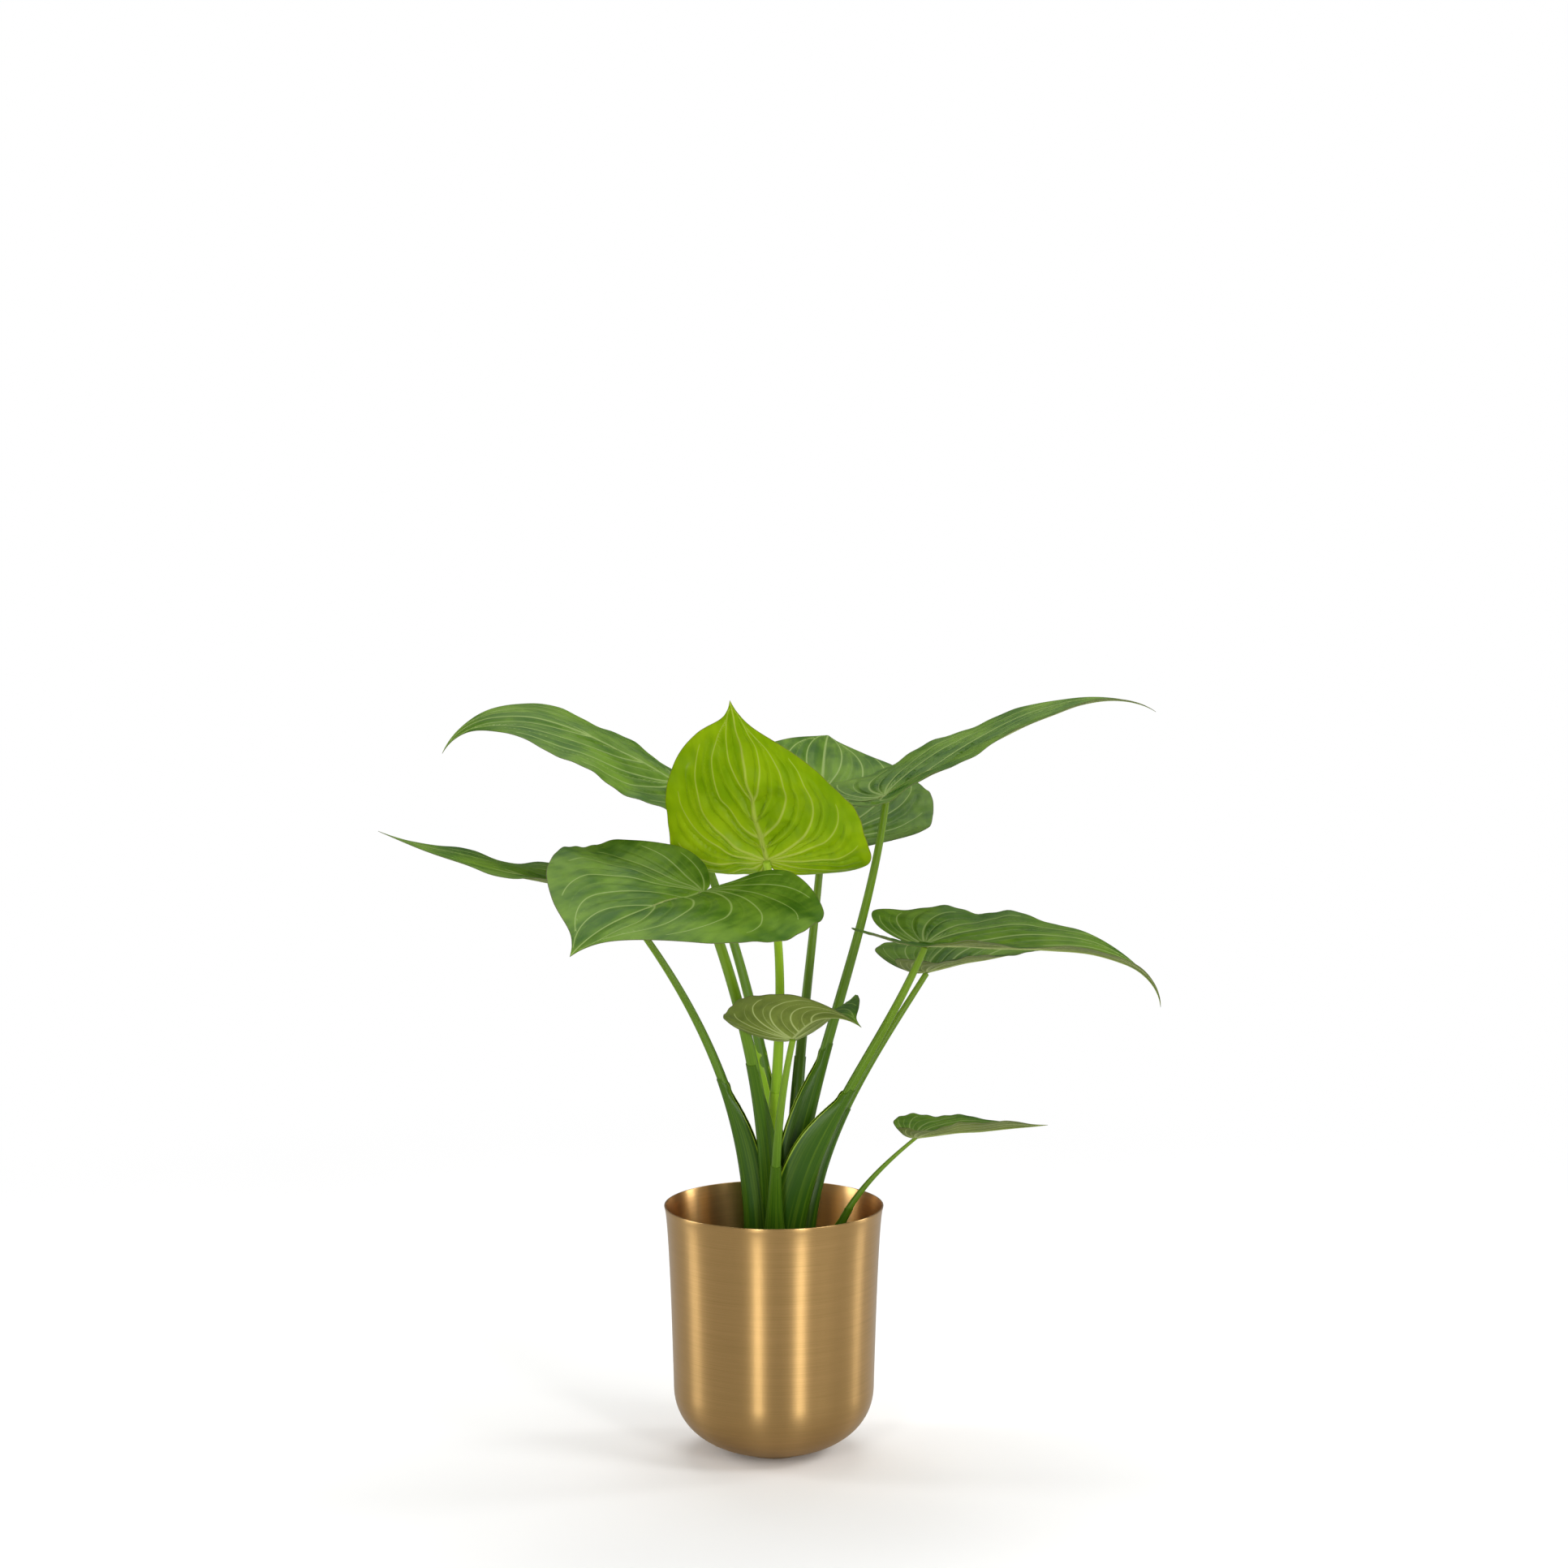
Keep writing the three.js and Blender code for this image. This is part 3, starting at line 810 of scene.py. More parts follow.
@dataclass
class Soil:
    """Potting soil with a rough top, and crumbs, chips and perlite lying on it."""

    shoulder: float = 3.0
    slope_width: float = 12.0
    flat_inset: float = 13.0
    foot_radius: float = 48.2
    wall_step: float = 12.0
    roughness: float = 1.1
    crumbs: int = 620
    crumb_size: tuple[float, float] = (0.6, 2.1)
    peat_share: float = 0.93
    steps: int = 160
    seed: int = 7

    def surface_height(self, x: np.ndarray, y: np.ndarray) -> np.ndarray:
        """The top's unevenness: three sizes of lumps, each half as high as the one before."""
        broad = value_noise(x, y, 15.0, self.seed)
        small = value_noise(x, y, 5.0, self.seed + 1)
        fine = value_noise(x, y, 2.0, self.seed + 2)
        return self.roughness * (broad + small / 2 + fine / 4) - self.roughness

    def bed(self, low: Vector, high: Vector) -> None:
        """The soil's body, turned, with the unevenness added to its top.

        Args:
            low: the CAD soil's lowest corner.
            high: its highest corner.
        """
        bottom, top = low.z / MM, high.z / MM
        rim = high.x / MM
        slope = np.linspace(rim, rim - self.slope_width, 10)
        radii = np.concatenate([slope, np.linspace(rim - self.flat_inset, 0, 60)])
        drop = np.clip((radii - rim + self.slope_width) / self.slope_width, 0, 1) * self.shoulder
        upper = np.stack([radii, top - drop], -1)
        corners = [(0.0, bottom), (self.foot_radius, bottom), (rim, top - self.shoulder - 0.2)]
        lower = fine_profile(corners, self.wall_step)
        points, uv = turned(np.concatenate([lower, upper]), self.steps)
        rows = np.arange(len(points))[:, None] >= len(lower)
        radius = np.linalg.norm(points[..., :2], axis=-1)
        inside = np.clip((rim - radius) / 6, 0, 1)
        lift = self.surface_height(points[..., 0], points[..., 1])
        points[..., 2] += lift * inside * rows
        tint = 0.35 + 0.3 * value_noise(points[..., 0], points[..., 1], 4.0, self.seed + 3)
        piece = single_sheet(points, uv, {"tint": tint}).to_piece("soil_bed", "soil", SOIL_FINISH)
        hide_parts("soil")

    def litter(self, top: float, reach: float) -> None:
        """Lumps strewn over the bed: one icosahedron, stretched and turned at random for each.

        Args:
            top: the bed's height.
            reach: how far from the axis the lumps lie.
        """
        golden = (1 + 5**0.5) / 2
        corners = [(s, t * golden, 0) for s in (-1, 1) for t in (-1, 1)]
        ball = unit(np.array([np.roll(corner, turn) for turn in range(3) for corner in corners], float))
        gap = np.linalg.norm(ball[:, None] - ball[None], axis=-1)
        near = (gap > 0) & (gap < 1.1)
        first, second, third = np.meshgrid(*[np.arange(12)] * 3, indexing="ij")
        whole = near[first, second] & near[second, third] & near[first, third]
        ordered = whole & (first < second) & (second < third)
        triangles = np.stack([first[ordered], second[ordered], third[ordered]], -1)
        start, left, right = (ball[triangles[:, corner]] for corner in range(3))
        inward = (np.cross(left - start, right - start) * start).sum(-1) < 0
        triangles[inward] = triangles[inward][:, ::-1]
        random = np.random.default_rng(self.seed)
        distance = reach * np.sqrt(random.uniform(0, 1, self.crumbs))
        angle = random.uniform(0, 2 * np.pi, self.crumbs)
        level = np.full(self.crumbs, top)
        centre = np.stack([distance * np.cos(angle), distance * np.sin(angle), level], -1)
        centre[:, 2] += self.surface_height(centre[:, 0], centre[:, 1]) + 0.2
        size = random.uniform(*self.crumb_size, self.crumbs)[:, None]
        size = size * random.uniform(0.5, 1.3, (self.crumbs, 3))
        turns = np.linalg.qr(random.normal(size=(self.crumbs, 3, 3)))[0]
        turns *= np.sign(np.linalg.det(turns))[:, None, None]
        lumpy = ball[None] * random.uniform(0.75, 1.2, (self.crumbs, 12, 1)) * size[:, None]
        points = np.einsum("nij,nkj->nki", turns, lumpy) + centre[:, None]
        faces = triangles[None] + 12 * np.arange(self.crumbs)[:, None, None]
        tint = random.uniform(0.0, 0.9, self.crumbs)
        tint[random.uniform(0, 1, self.crumbs) > self.peat_share] = 1.0
        values = {"tint": np.repeat(tint, 12)}
        flat = points.reshape(-1, 3)
        piece = Surface(flat, faces.reshape(-1, 3), flat[:, :2] / 100, values)
        piece.to_piece("soil_litter", "soil", SOIL_FINISH)

    def build(self) -> None:
        """The bed and what lies on it."""
        low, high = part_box("soil")
        self.bed(low, high)
        self.litter(high.z / MM, high.x / MM - 4)


@dataclass
class Rhizome:
    """The knobbly old stem that the stalks grow from."""

    knob: float = 1.6
    steps: int = 96

    def build(self) -> None:
        """A rounded stump: the CAD stem's radius, rounded in at its crown, with ringed lumps on it."""
        low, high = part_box("rhizome")
        foot, crown, radius = low.z / MM, high.z / MM, high.x / MM - self.knob
        outline = [(0, foot), (radius * 0.55, foot + 1), (radius * 0.93, crown - 12), (radius, crown - 5)]
        outline += [(radius * 0.93, crown - 2), (radius * 0.7, crown - 0.8), (0, crown - 0.8)]
        points, uv = turned(fine_profile([(float(r), float(z)) for r, z in outline], 1.5), self.steps)
        angle = np.arctan2(points[..., 1], points[..., 0])
        around = np.stack([np.cos(angle), np.sin(angle)], -1) * 40
        lumps = value_noise(around[..., 0] + 80, around[..., 1] + 80 + points[..., 2], 6.0, 21)
        rings = 0.4 * np.sin(points[..., 2] * 1.5)
        points[..., :2] *= (1 + (self.knob * lumps + rings) / radius * 0.8)[..., None]
        piece = single_sheet(points, uv).to_piece("rhizome_stump", "rhizome", CORK)
        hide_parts("rhizome")


# ---------------------------------------------------------------- leaves


@dataclass
class Sheath:
    """The thin wings of a stalk's base, in millimetres and degrees.

    Top is the height that they reach and wing how far each arm stands in; belly is how much they
    swell at the soil, facing the direction that they open to, and ruffle how much their edges wave.
    """

    top: float
    wing: float
    belly: float
    facing: float
    ruffle: float = 0.0
    age: Age = Age.MATURE
    rows: int = 90
    columns: int = 81
    gap: float = 0.35
    arm_start: float = 0.5
    widening: float = 0.35
    tip_height: float = 3.2
    tip_place: float = 0.97
    tip_width: float = 0.03
    edge_width: float = 0.14


FORWARD = np.array([1, 0.93, 0.85, 0.72, 0.54, 0.33, 0.12])
NARROW = np.array([0, 0.045, 0.13, 0.34, 0.65, 0.9, 1])
FULL = np.array([0, 0.06, 0.2, 0.58, 0.86, 0.985, 1])
LOBE = np.array([[0.28, 0.97], [0.72, 0.8], [1, 0.5], [0.86, 0.24], [0.42, 0.06], [0.1, 0.01]])

# One side's veins, each a curve by four points: forward as a share of the length (or, behind the
# stalk, of the lobe) and sideways as a share of the half width; then its width at the start, in mm.
SIDE_VEINS = [
    ([(0.36, 0.0), (0.50, 0.20), (0.72, 0.22), (0.94, 0.03)], 1.10),
    ([(0.14, 0.0), (0.26, 0.34), (0.52, 0.55), (0.84, 0.12)], 1.35),
    ([(0.0, 0.0), (0.08, 0.40), (0.28, 0.80), (0.66, 0.46)], 1.50),
    ([(0.0, 0.0), (0.02, 0.40), (0.10, 0.84), (0.36, 0.80)], 1.40),
    ([(0.0, 0.0), (-0.20, 0.36), (-0.30, 0.74), (0.06, 0.90)], 1.30),
    ([(0.0, 0.0), (-0.40, 0.24), (-0.75, 0.50), (-0.62, 0.76)], 1.20),
    ([(0.0, 0.0), (-0.45, 0.10), (-0.80, 0.24), (-0.88, 0.46)], 1.00),
]
MIDRIB = ([(0.0, 0.0), (0.33, 0.0), (0.66, 0.0), (1.0, 0.0)], 2.5)
MINOR_VEIN_WIDTH = 0.55
VEIN_STEPS = 25
VEIN_TAPER = 0.72
FAR_FROM_VEINS = 9.0
MIDRIB_STEPS = 240
FINE_STEPS = 400
STANDARD_LENGTH = 200


@dataclass(frozen=True)
class Relief:
    """How blades and stalks are worked: the reaches and the ruffle in millimetres, the rest as shares.

    Ridge and groove are shares of the vein's width, thinning is what the blade loses at its edge,
    the right margin's waves lag by a share of a wave, and channel and ribs are shares of the radius.
    """

    swell_reach: float = 5.0
    ridge_reach: float = 1.5
    ridge_height: float = 0.55
    groove_depth: float = 0.18
    edge_thinning: float = 0.55
    ruffle: float = 0.5
    ruffle_count: float = 3.3
    right_lag: float = 0.35
    channel_depth: float = 0.10
    channel_width: float = 0.5
    rib_height: float = 0.012
    ribs: int = 11


RELIEF = Relief()


@dataclass
class Leaf:
    """One leaf: its stalk runs from root by two handles to the junction, where the blade starts.

    Heading turns from +X towards +Y and bends by the tip; pitch is the rise at the junction and
    droop is how far it has tipped down by the tip; roll and twist turn the blade about its midrib.
    Folds lift the left and right halves, curls bend them on, and hood lifts the two back lobes.
    Quilt is how high the blade swells between its veins; pucker is its other lumps' height and width;
    minor_veins is how clear the thin veins are, where a main vein is 1.
    """

    name: str
    root: tuple[float, float, float]
    handles: tuple[tuple[float, float, float], tuple[float, float, float]]
    junction: tuple[float, float, float]
    stem_radius: tuple[float, float]
    heading: float
    bend: float
    pitch: float
    droop: float
    droop_power: float
    roll: float
    twist: float
    fold: tuple[float, float]
    curl: tuple[float, float]
    hood: float
    length: float
    half_width: float
    lobe: float
    fullness: float
    wave: tuple[float, float, float]
    sheath: Sheath
    age: Age = Age.MATURE
    thickness: float = 0.7
    quilt: float = 1.5
    pucker: tuple[float, float] = (1.1, 24.0)
    minor_veins: float = 0.7
    seed: int = 100
    rings: int = 84
    half_columns: int = 150
    stalk_rows: int = 140
    stalk_columns: int = 41
    taper_power: float = 1.3

    def directions(self, share: np.ndarray) -> tuple[np.ndarray, np.ndarray, np.ndarray]:
        """Unit vectors along the midrib, to its left and up out of the blade.

        Args:
            share: how far along the blade, from 0 at the junction to 1 at the tip.

        Returns:
            Along, left and up; left is level, turned about along by the roll.
        """
        heading = np.radians(self.heading + self.bend * share)
        pitch = np.radians(self.pitch - self.droop * share**self.droop_power)
        roll = np.radians(self.roll + self.twist * share)[..., None]
        flat = np.cos(pitch)
        along = np.stack([flat * np.cos(heading), flat * np.sin(heading), np.sin(pitch)], -1)
        level = np.stack([-np.sin(heading), np.cos(heading), np.zeros_like(heading)], -1)
        left = level * np.cos(roll) + np.cross(along, level) * np.sin(roll)
        return along, left, np.cross(along, left)

    def outline(self) -> np.ndarray:
        """The blade's flat edge, a Catmull-Rom curve from the right of the notch round the tip.

        Returns:
            Rows of forward and leftward, in millimetres.
        """
        width = NARROW + (FULL - NARROW) * self.fullness
        front = np.stack([FORWARD * self.length, width * self.half_width], -1)
        back = LOBE * [-self.lobe * self.length, self.half_width]
        knots = np.concatenate([front, back])
        places = np.linspace(0, len(knots) - 1, self.half_columns)
        before = np.minimum(places.astype(int), len(knots) - 2)
        share = (places - before)[:, None]
        p0, p1 = knots[np.maximum(before - 1, 0)], knots[before]
        p2, p3 = knots[before + 1], knots[np.minimum(before + 2, len(knots) - 1)]
        leave, arrive = (p2 - p0) / 2, (p3 - p1) / 2
        cubic = (2 * p1 - 2 * p2 + leave + arrive) * share**3
        half = cubic + (-3 * p1 + 3 * p2 - 2 * leave - arrive) * share**2 + leave * share + p1
        return np.concatenate([half[::-1] * [1, -1], half[1:]])

    def middle_surface(self, forward: np.ndarray, leftward: np.ndarray) -> np.ndarray:
        """Where flat blade places lie in space.

        The midrib is the running sum of its direction. A place beside it goes out along left, lifted
        by the fold and curl of its half. A place behind the junction swings up by the hood. The
        margins wave by a sine along the blade that grows with the square of the distance out.

        Args:
            forward: distance ahead of the junction, in millimetres.
            leftward: distance to the left of the midrib, in millimetres.

        Returns:
            Points in millimetres.
        """
        samples = np.linspace(0, 1, MIDRIB_STEPS + 1)
        steps = self.directions((samples[1:] + samples[:-1]) / 2)[0] * self.length / MIDRIB_STEPS
        line = np.concatenate([np.zeros((1, 3)), np.cumsum(steps, axis=0)])
        share = np.clip(forward, 0, None) / self.length
        along, left, up = self.directions(share)
        point = np.stack([np.interp(share, samples, line[:, axis]) for axis in range(3)], -1)
        behind = np.clip(-forward, 0, None)
        swing = np.radians(self.hood / 2 * behind / (self.lobe * self.length))[..., None]
        point += behind[..., None] * (up * np.sin(swing) - along * np.cos(swing))
        right = leftward <= 0
        out = np.abs(leftward)
        width = out / self.half_width
        fold, curl = (np.where(right, pair[1], pair[0]) for pair in (self.fold, self.curl))
        lift = np.radians(fold + curl * width / 2)
        height, count, phase = self.wave
        turns = count * forward / self.length + phase + right * RELIEF.right_lag
        wave = height * width**2 * np.sin(2 * np.pi * turns)
        small_turns = count * RELIEF.ruffle_count * forward / self.length + phase * 5
        ruffle = RELIEF.ruffle * width**4 * np.sin(2 * np.pi * small_turns)
        point += left * (np.sign(leftward) * out * np.cos(lift))[..., None]
        point += up * (out * np.sin(lift) + wave + ruffle)[..., None]
        return np.array(self.junction) + point

    def vein_fields(self, forward: np.ndarray, leftward: np.ndarray) -> tuple[np.ndarray, ...]:
        """How far each place is from the nearest vein, on which side, and how thick that vein is there.

        Args:
            forward: distance ahead of the junction, in millimetres.
            leftward: distance to the left of the midrib, in millimetres.

        Returns:
            The distance as a multiple of the vein's width, the same with a sign that changes across
            the vein, the vein's width in millimetres, and 1 if it is not a minor vein.
        """
        places = np.stack([forward, np.abs(leftward)], -1).reshape(-1, 1, 2)
        size = self.length / STANDARD_LENGTH
        ribs = [(np.array(curve), width) for curve, width in (MIDRIB, *SIDE_VEINS)]
        between = [(first[0] + second[0]) / 2 for first, second in zip(ribs[1:-1], ribs[2:])]
        ribs += [(curve, MINOR_VEIN_WIDTH) for curve in between]
        best = np.full(len(places), 1e9)
        side, thick, main = np.ones(len(places)), np.ones(len(places)), np.ones(len(places))
        rows = np.arange(len(places))
        for curve, width in ribs:
            behind = self.length * np.where(curve[:, 0] < 0, self.lobe, 1.0)
            knots = np.stack([curve[:, 0] * behind, curve[:, 1] * self.half_width], -1)
            line = bezier(knots, VEIN_STEPS)
            start, span = line[:-1], np.diff(line, axis=0)
            share = ((places - start) * span).sum(-1) / np.maximum((span**2).sum(-1), 1e-9)
            share = np.clip(share, 0, 1)
            offset = places - start - share[..., None] * span
            gap = np.linalg.norm(offset, axis=-1)
            nearest = gap.argmin(axis=1)
            ahead, aside = offset[rows, nearest].T
            turn = span[nearest, 0] * aside - span[nearest, 1] * ahead
            run = (nearest + share[rows, nearest]) / len(span)
            local = width * size**0.5 * (1 - VEIN_TAPER * run)
            multiple = gap[rows, nearest] / local
            closer = multiple < best
            best, thick = np.where(closer, multiple, best), np.where(closer, local, thick)
            side = np.where(closer, np.sign(turn), side)
            main = np.where(closer, float(width > MINOR_VEIN_WIDTH), main)
        return tuple(found.reshape(forward.shape) for found in (best, best * side, thick, main))

    def blade(self) -> None:
        """The blade: rings about the junction, quilted between its veins, ribbed below and grooved above."""
        node = f"{self.name}_blade"
        edge = self.outline()
        scale = (np.linspace(0, 1, self.rings + 1) ** 0.85)[:, None]
        forward, leftward = scale * edge[:, 0], scale * edge[:, 1]
        multiple, signed, thick, main = self.vein_fields(forward, leftward)
        middle = self.middle_surface(forward, leftward)
        low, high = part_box(node)
        wanted = np.array((low + high) / 2) / MM
        middle += wanted - (middle.reshape(-1, 3).min(0) + middle.reshape(-1, 3).max(0)) / 2
        inside = 1 - scale**6
        from_vein = 1 - np.exp(-((multiple * thick / RELIEF.swell_reach) ** 2))
        pillow = self.quilt * self.length / STANDARD_LENGTH * from_vein * inside
        high_swell, cell = self.pucker
        swell = high_swell * value_noise(forward + 400, leftward + 400, cell, self.seed) * inside
        middle = middle + sheet_normals(middle, pole=True) * (pillow + swell)[..., None]
        ridge = np.exp(-((multiple * thick / RELIEF.ridge_reach) ** 2)) * thick * inside
        half = self.thickness / 2 * (1 - RELIEF.edge_thinning * scale**10) * np.ones_like(forward)
        margin_gap = (1 - scale) * np.linalg.norm(edge, axis=-1)
        uv = np.stack([forward, leftward], -1)
        values = {
            "vein_gap": np.minimum(multiple, FAR_FROM_VEINS),
            "vein_side": np.clip(signed, -FAR_FROM_VEINS, FAR_FROM_VEINS),
            "vein_main": main + (1 - main) * self.minor_veins,
            "margin_gap": margin_gap * np.ones_like(forward),
        }
        above, below = half - RELIEF.groove_depth * ridge, half + RELIEF.ridge_height * ridge
        sheet = thick_sheet(middle, above, below, uv, values, pole=True)
        piece = sheet.to_piece(node + "_sheet", self.age.value, BLADE_FINISH[self.age])
        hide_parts(node)

    def stalk_line(self, steps: int) -> tuple[np.ndarray, np.ndarray, np.ndarray]:
        """The stalk's centre line, a cubic Bezier curve that ends in the blade's underside.

        Args:
            steps: how many points it has.

        Returns:
            The points, the unit vectors along it, and the radius at each point.
        """
        _, _, up = self.directions(np.zeros(1))
        end = np.array(self.junction) - up[0] * self.stem_radius[1] * 0.55
        line = bezier([np.array(self.root), *map(np.array, self.handles), end], steps)
        base, top = self.stem_radius
        radius = top + (base - top) * (1 - np.linspace(0, 1, steps)) ** self.taper_power
        return line, unit(np.gradient(line, axis=0)), radius

    def section_axes(self, along: np.ndarray) -> tuple[np.ndarray, np.ndarray]:
        """Unit vectors square to the stalk: to the side where its sheath opens, and beside that."""
        facing = radians(self.sheath.facing)
        inward = np.array([np.cos(facing), np.sin(facing), 0.0])
        front = unit(inward - along * (along @ inward)[:, None])
        return front, np.cross(along, front)

    def stalk(self) -> None:
        """The stalk: a round section carried along its line, with a shallow channel and fine ribs."""
        line, along, radius = self.stalk_line(self.stalk_rows)
        front, beside = self.section_axes(along)
        around = np.linspace(0, 2 * np.pi, self.stalk_columns)
        angle = -around
        from_front = np.angle(np.exp(1j * angle)) / RELIEF.channel_width
        channel = RELIEF.channel_depth * np.exp(-(from_front**2))
        reach = radius[:, None] * (1 - channel + RELIEF.rib_height * np.cos(RELIEF.ribs * angle))
        ring = front[:, None] * (reach * np.cos(angle))[..., None]
        ring = ring + beside[:, None] * (reach * np.sin(angle))[..., None] + line[:, None]
        ring[:, -1] = ring[:, 0]
        foot = np.repeat(line[:1, None], self.stalk_columns, axis=1)
        tip = np.repeat(line[-1:, None] + along[-1:, None] * radius[-1] * 0.5, self.stalk_columns, axis=1)
        points = np.concatenate([foot, ring, tip])
        run = np.concatenate([[0.0], np.linspace(0, 1, self.stalk_rows), [1.0]])
        run = run[:, None] * np.ones(self.stalk_columns)
        uv = np.stack([np.linspace(0, 1, self.stalk_columns) * np.ones_like(run), run], -1)
        values = {"edge": np.zeros_like(run)}
        node = f"{self.name}_petiole"
        piece = single_sheet(points, uv, values).to_piece(node + "_stalk", "petiole", STALK_FINISH[self.age])
        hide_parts(node)

    def wings(self) -> None:
        """The sheath: a C round the stalk's outer side whose two arms reach in and lean together.

        Across the section, the first half of the way out is a quarter turn about the stalk, and the
        rest is the arm, as long as the wing. The wing widens in a straight line down from its top,
        levels off a third of the way down, and has a small free tip that stands off the stalk.
        """
        sheath = self.sheath
        line, along, radius = self.stalk_line(FINE_STEPS)
        high = int(np.searchsorted(line[:, 2], sheath.top))
        picks = np.linspace(0, high, sheath.rows).astype(int)
        line, along, radius = line[picks], along[picks], radius[picks]
        front, beside = (axis[:, None] for axis in self.section_axes(along))
        run = np.linspace(0, 1, sheath.rows)[:, None]
        across = np.linspace(-1, 1, sheath.columns)[None]
        close = radius[:, None] + sheath.gap + sheath.belly * (1 - run) ** 1.6
        turn = np.clip(np.abs(across) / sheath.arm_start, 0, 1) * np.pi / 2
        arm = np.clip(np.abs(across) - sheath.arm_start, 0, 1) / (1 - sheath.arm_start)
        near_tip = np.exp(-(((run - sheath.tip_place) / sheath.tip_width) ** 2))
        tip = sheath.tip_height * near_tip * (1 - run**40)
        below = (1 - run) / sheath.widening
        length = sheath.wing * below / (1 + below**4) ** 0.25 + tip
        length = length * (1 + sheath.ruffle * np.sin(run * 34) * 0.12)
        flutter = sheath.ruffle * arm**2 * np.sin(run * 30)
        side = np.sign(across) * (close * np.sin(turn) * (1 - 0.55 * arm**2) + flutter)
        depth = -close * np.cos(turn) + length * arm
        points = line[:, None] + front * depth[..., None] + beside * side[..., None]
        uv = np.stack([across * 0.8 * np.ones_like(run), run * 0.6 * np.ones_like(across)], -1)
        edge_start = 1 - sheath.edge_width
        edge = np.clip((arm - edge_start) / sheath.edge_width, 0, 1) * np.ones_like(run)
        thin = (0.5 - 0.32 * arm) * np.ones_like(run) * (1 - 0.5 * run**3)
        sheet = thick_sheet(points, thin, thin, uv, {"edge": edge})
        sheet.to_piece(f"{self.name}_sheath", "petiole", SHEATH_FINISH[sheath.age])

    def build(self) -> None:
        """The leaf's three pieces."""
        self.blade()
        self.stalk()
        self.wings()


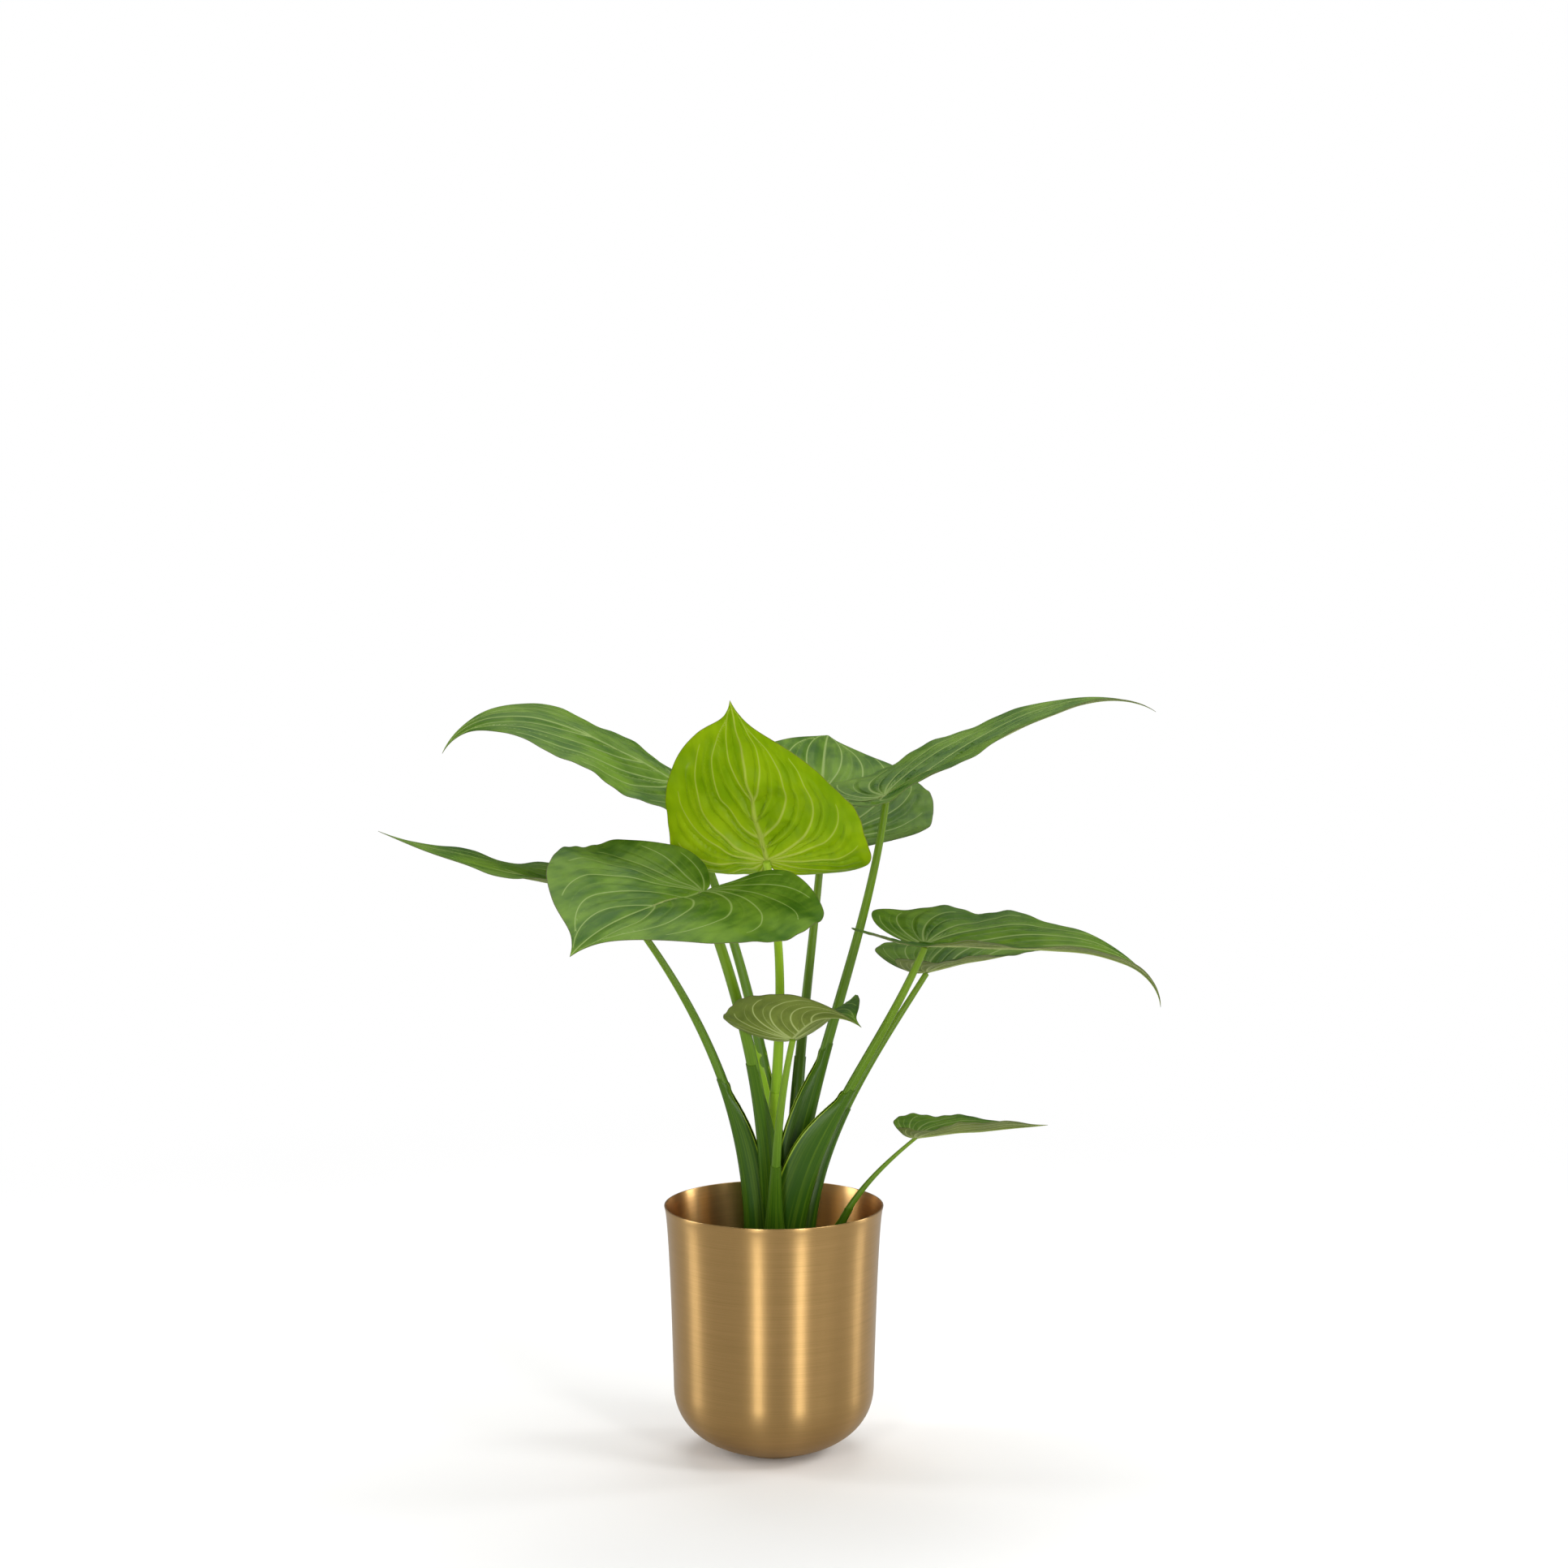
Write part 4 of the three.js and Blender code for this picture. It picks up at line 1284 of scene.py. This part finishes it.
# Most of the blades' and stalks' values here came out of a fitting program and were then rounded.
LEAVES = [
    Leaf(
        name="leaf_01", root=(4, 30, 143.4), handles=((10, 30, 280), (-25, 40, 415)),
        junction=(-80, 50, 545), stem_radius=(6, 3), heading=180, bend=5, pitch=30, droop=95,
        droop_power=3, roll=-15, twist=-10, fold=(5, -10), curl=(-5, -10), hood=35, length=215,
        half_width=80, lobe=0.25, fullness=0.4, wave=(2.5, 3, 0.25),
        # This sheath takes the paler greens as painted light through it.
        sheath=Sheath(330, 13, 2, -60, age=Age.PALE_AND_BACKLIT),
    ),
    Leaf(
        name="leaf_02", root=(-17, -12, 143.4), handles=((-10, -10, 265), (-55, -15, 370)),
        junction=(-130, -20, 465), stem_radius=(6, 2.5), heading=190, bend=10, pitch=10, droop=-15,
        droop_power=1.5, roll=-5, twist=-5, fold=(5, 0), curl=(10, -5), hood=35, length=195,
        half_width=70, lobe=0.25, fullness=0.5, wave=(4, 2.5, 0.4), sheath=Sheath(312, 15, 2, -15),
    ),
    Leaf(
        name="leaf_03", root=(-2, 13, 143.4), handles=((-10, 5, 265), (20, -25, 370)),
        junction=(-5, -65, 495), stem_radius=(6, 3), heading=-115, bend=10, pitch=60, droop=5,
        droop_power=2.5, roll=5, twist=-25, fold=(5, 5), curl=(5, 5), hood=60, length=155,
        half_width=85, lobe=0.2, fullness=0.6, wave=(2, 2.5, 0.5),
        # This young leaf takes the paler greens: partly its own colour, partly painted light through it
        # where it is backlit.
        sheath=Sheath(300, 8, 1, 90, age=Age.PALE_AND_BACKLIT),
        age=Age.PALE_AND_BACKLIT, quilt=3.2, pucker=(3.2, 17.0), minor_veins=0.2,
    ),
    Leaf(
        name="leaf_04", root=(16, 15, 143.4), handles=((10, 20, 270), (30, 50, 380)),
        junction=(40, 80, 495), stem_radius=(6, 3), heading=90, bend=-5, pitch=30, droop=30,
        droop_power=3, roll=0, twist=25, fold=(0, 15), curl=(10, 0), hood=40, length=190,
        half_width=95, lobe=0.25, fullness=0.1, wave=(2, 2.5, 0.45), sheath=Sheath(320, 9, 1, -90),
        minor_veins=0.2,
    ),
    Leaf(
        name="leaf_05", root=(-6, -1, 143.4), handles=((5, -15, 250), (-20, -55, 370)),
        junction=(-55, -105, 475), stem_radius=(6.5, 4), heading=-130, bend=0, pitch=-5, droop=30,
        droop_power=3, roll=-10, twist=-10, fold=(20, 0), curl=(-35, 10), hood=40, length=155,
        half_width=115, lobe=0.25, fullness=0.55, wave=(1.5, 2.5, 0.2), sheath=Sheath(330, 10, 3, 30),
        minor_veins=0.15, pucker=(1.8, 26.0),
    ),
    Leaf(
        name="leaf_06", root=(1, -22, 143.4), handles=((0, -25, 215), (0, -50, 280)),
        junction=(15, -75, 355), stem_radius=(5.5, 2.5), heading=-60, bend=25, pitch=35, droop=65,
        droop_power=2, roll=-10, twist=-10, fold=(25, 15), curl=(15, 5), hood=25, length=85,
        half_width=60, lobe=0.25, fullness=0.35, wave=(1, 2.5, 0.3), sheath=Sheath(245, 12, 8, 90),
    ),
    Leaf(
        name="leaf_07", root=(9, 2, 143.4), handles=((10, 0, 280), (75, 0, 405)),
        junction=(90, 0, 540), stem_radius=(6.5, 3), heading=5, bend=5, pitch=27, droop=60,
        droop_power=4.5, roll=0, twist=-5, fold=(10, 5), curl=(0, 0), hood=50, length=240,
        half_width=70, lobe=0.2, fullness=0.4, wave=(2, 3, 0.55), sheath=Sheath(338, 18, 3, 190),
    ),
    Leaf(
        name="leaf_08", root=(15, -13, 143.4), handles=((10, -15, 250), (85, -25, 330)),
        junction=(120, -45, 425), stem_radius=(6.5, 3), heading=-15, bend=30, pitch=0, droop=85,
        droop_power=4.5, roll=5, twist=0, fold=(10, 15), curl=(0, 0), hood=25, length=210,
        half_width=75, lobe=0.25, fullness=0.15, wave=(3, 3, 0.25), sheath=Sheath(305, 24, 3, 185),
    ),
    Leaf(
        name="leaf_09", root=(26, 0, 143.4), handles=((20, 5, 240), (80, 20, 320)),
        junction=(125, 40, 390), stem_radius=(5.5, 2.5), heading=15, bend=10, pitch=10, droop=10,
        droop_power=2, roll=0, twist=15, fold=(15, 20), curl=(0, -5), hood=40, length=135,
        half_width=65, lobe=0.25, fullness=0.55, wave=(1.5, 2.5, 0.45),
        sheath=Sheath(282, 14, 2, 200, 1.2),
    ),
    Leaf(
        name="leaf_10", root=(41, -8, 140.4), handles=((45, -10, 195), (75, -15, 230)),
        junction=(115, -20, 265), stem_radius=(4.5, 1.5), heading=5, bend=10, pitch=5, droop=5,
        droop_power=2, roll=0, twist=-10, fold=(10, 20), curl=(10, 0), hood=45, length=110,
        half_width=40, lobe=0.15, fullness=0.35, wave=(1.5, 2.5, 0.2), sheath=Sheath(205, 5, 1, 170),
    ),
]


# ---------------------------------------------------------------- studio


@dataclass
class Lamp:
    """A soft box that faces the plant: where it stands, how wide and tall it is, and its power."""

    name: str
    azimuth: float
    distance: float
    height: float
    width: float
    tall: float
    power: float

    def build(self, aim: Vector) -> None:
        """Hangs the lamp; azimuth 0 is the camera's side and 90 is +X."""
        turn = radians(self.azimuth)
        place = Vector((np.sin(turn) * self.distance, -np.cos(turn) * self.distance, self.height))
        light = bpy.data.lights.new(self.name, "AREA")
        light.shape = "RECTANGLE"
        light.size, light.size_y = self.width, self.tall
        light.energy = self.power
        lamp = bpy.data.objects.new(self.name, light)
        lamp.location = place
        lamp.rotation_euler = (aim - place).to_track_quat("-Z", "Y").to_euler()
        bpy.context.scene.collection.objects.link(lamp)


@dataclass
class Studio:
    """A white floor, a pale surround, soft boxes and the camera; mirrored, floor and surround are dimmer."""

    floor_radius: float = 14.0
    floor_gap: float = 0.2
    floor_ring: float = 1500.0
    shade_radius: float = 0.45
    white_radius: float = 1.5
    surround: float = 0.34
    mirrored_surround: float = 0.26
    air_tint: Colour = (1.0, 0.99, 0.98, 1.0)
    floor_tone: Colour = (0.93, 0.93, 0.93, 1.0)
    mirrored_tone: Colour = (0.50, 0.49, 0.47, 1.0)
    camera_place: tuple[float, float, float] = (0.0083, -2.667, 0.814)
    camera_pitch: float = 5.67
    lens: float = 76.4
    sensor: float = 36.0

    def floor(self) -> None:
        """A large round floor, a hair below the foot, that brightens to plain white away from the pot."""
        radii = (self.floor_radius / MM, self.floor_ring, 0.0)
        points, uv = turned(np.array([(radius, -self.floor_gap) for radius in radii]), 64)
        surface = single_sheet(points, uv)
        mesh = bpy.data.meshes.new("studio_floor")
        mesh.from_pydata((surface.vertices * MM).tolist(), [], surface.faces.tolist())
        board = Board(bpy.data.materials.new("studio_floor"))
        path = board.add("LightPath").outputs
        tone = board.mix(path["Is Glossy Ray"], self.floor_tone, self.mirrored_tone)
        paint = board.add("BsdfDiffuse", {"Color": tone})
        white = board.add("Emission", {"Color": WHITE, "Strength": 1.0})
        middle = board.add("VectorMath", {0: board.place()}, operation="LENGTH").outputs["Value"]
        distant = board.band(middle, self.shade_radius, self.white_radius)
        shown = board.math("MULTIPLY", distant, path["Is Camera Ray"])
        mesh.materials.append(board.finish(board.blend(shown, paint, white)))
        piece = bpy.data.objects.new("studio_floor", mesh)
        bpy.context.scene.collection.objects.link(piece)

    def air(self) -> None:
        """A surround that the eye sees white and that lights the plant more softly."""
        board = Board(bpy.data.worlds.new("studio_air"))
        path = board.add("LightPath").outputs
        seen = board.add("Background", {"Color": WHITE, "Strength": 1.0})
        levels = {"Value": path["Is Glossy Ray"], "To Min": self.surround, "To Max": self.mirrored_surround}
        level = board.add("MapRange", levels).outputs["Result"]
        felt = board.add("Background", {"Color": self.air_tint, "Strength": level})
        board.add("OutputWorld", {"Surface": board.blend(path["Is Camera Ray"], felt, seen).outputs[0]})
        bpy.context.scene.world = board.owner

    def camera(self) -> None:
        """The camera, level but for a slight look down."""
        data = bpy.data.cameras.new("camera")
        data.lens, data.sensor_width = self.lens, self.sensor
        data.clip_end = 100.0
        camera = bpy.data.objects.new("camera", data)
        camera.location = self.camera_place
        camera.rotation_euler = (radians(90 - self.camera_pitch), 0.0, 0.0)
        bpy.context.scene.collection.objects.link(camera)
        bpy.context.scene.camera = camera

    def build(self) -> None:
        """The whole studio; the strips give the pot its four upright highlights."""
        self.floor()
        self.air()
        self.camera()
        aim = Vector((0.0, 0.0, 0.25))
        lamps = [
            Lamp("strip_left", -95, 2.4, 0.75, 0.60, 2.0, 27),
            Lamp("strip_near_left", -17, 3.2, 0.85, 0.42, 2.2, 44),
            Lamp("strip_near_right", 29, 3.2, 0.85, 0.46, 2.2, 48),
            Lamp("strip_right", 104, 2.4, 0.75, 0.44, 2.0, 21),
            Lamp("key", 62, 2.6, 2.1, 0.8, 0.8, 26),
            Lamp("overhead", 180, 0.9, 2.6, 1.8, 1.8, 34),
        ]
        for lamp in lamps:
            lamp.build(aim)
        bpy.context.scene.view_settings.view_transform = "Standard"


def main() -> None:
    """Builds the pots, the soil, the leaves and the studio."""
    for part in (Cachepot(), GrowersPot(), Soil(), Rhizome(), *LEAVES, Studio()):
        part.build()
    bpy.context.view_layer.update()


if __name__ == "__main__":
    main()
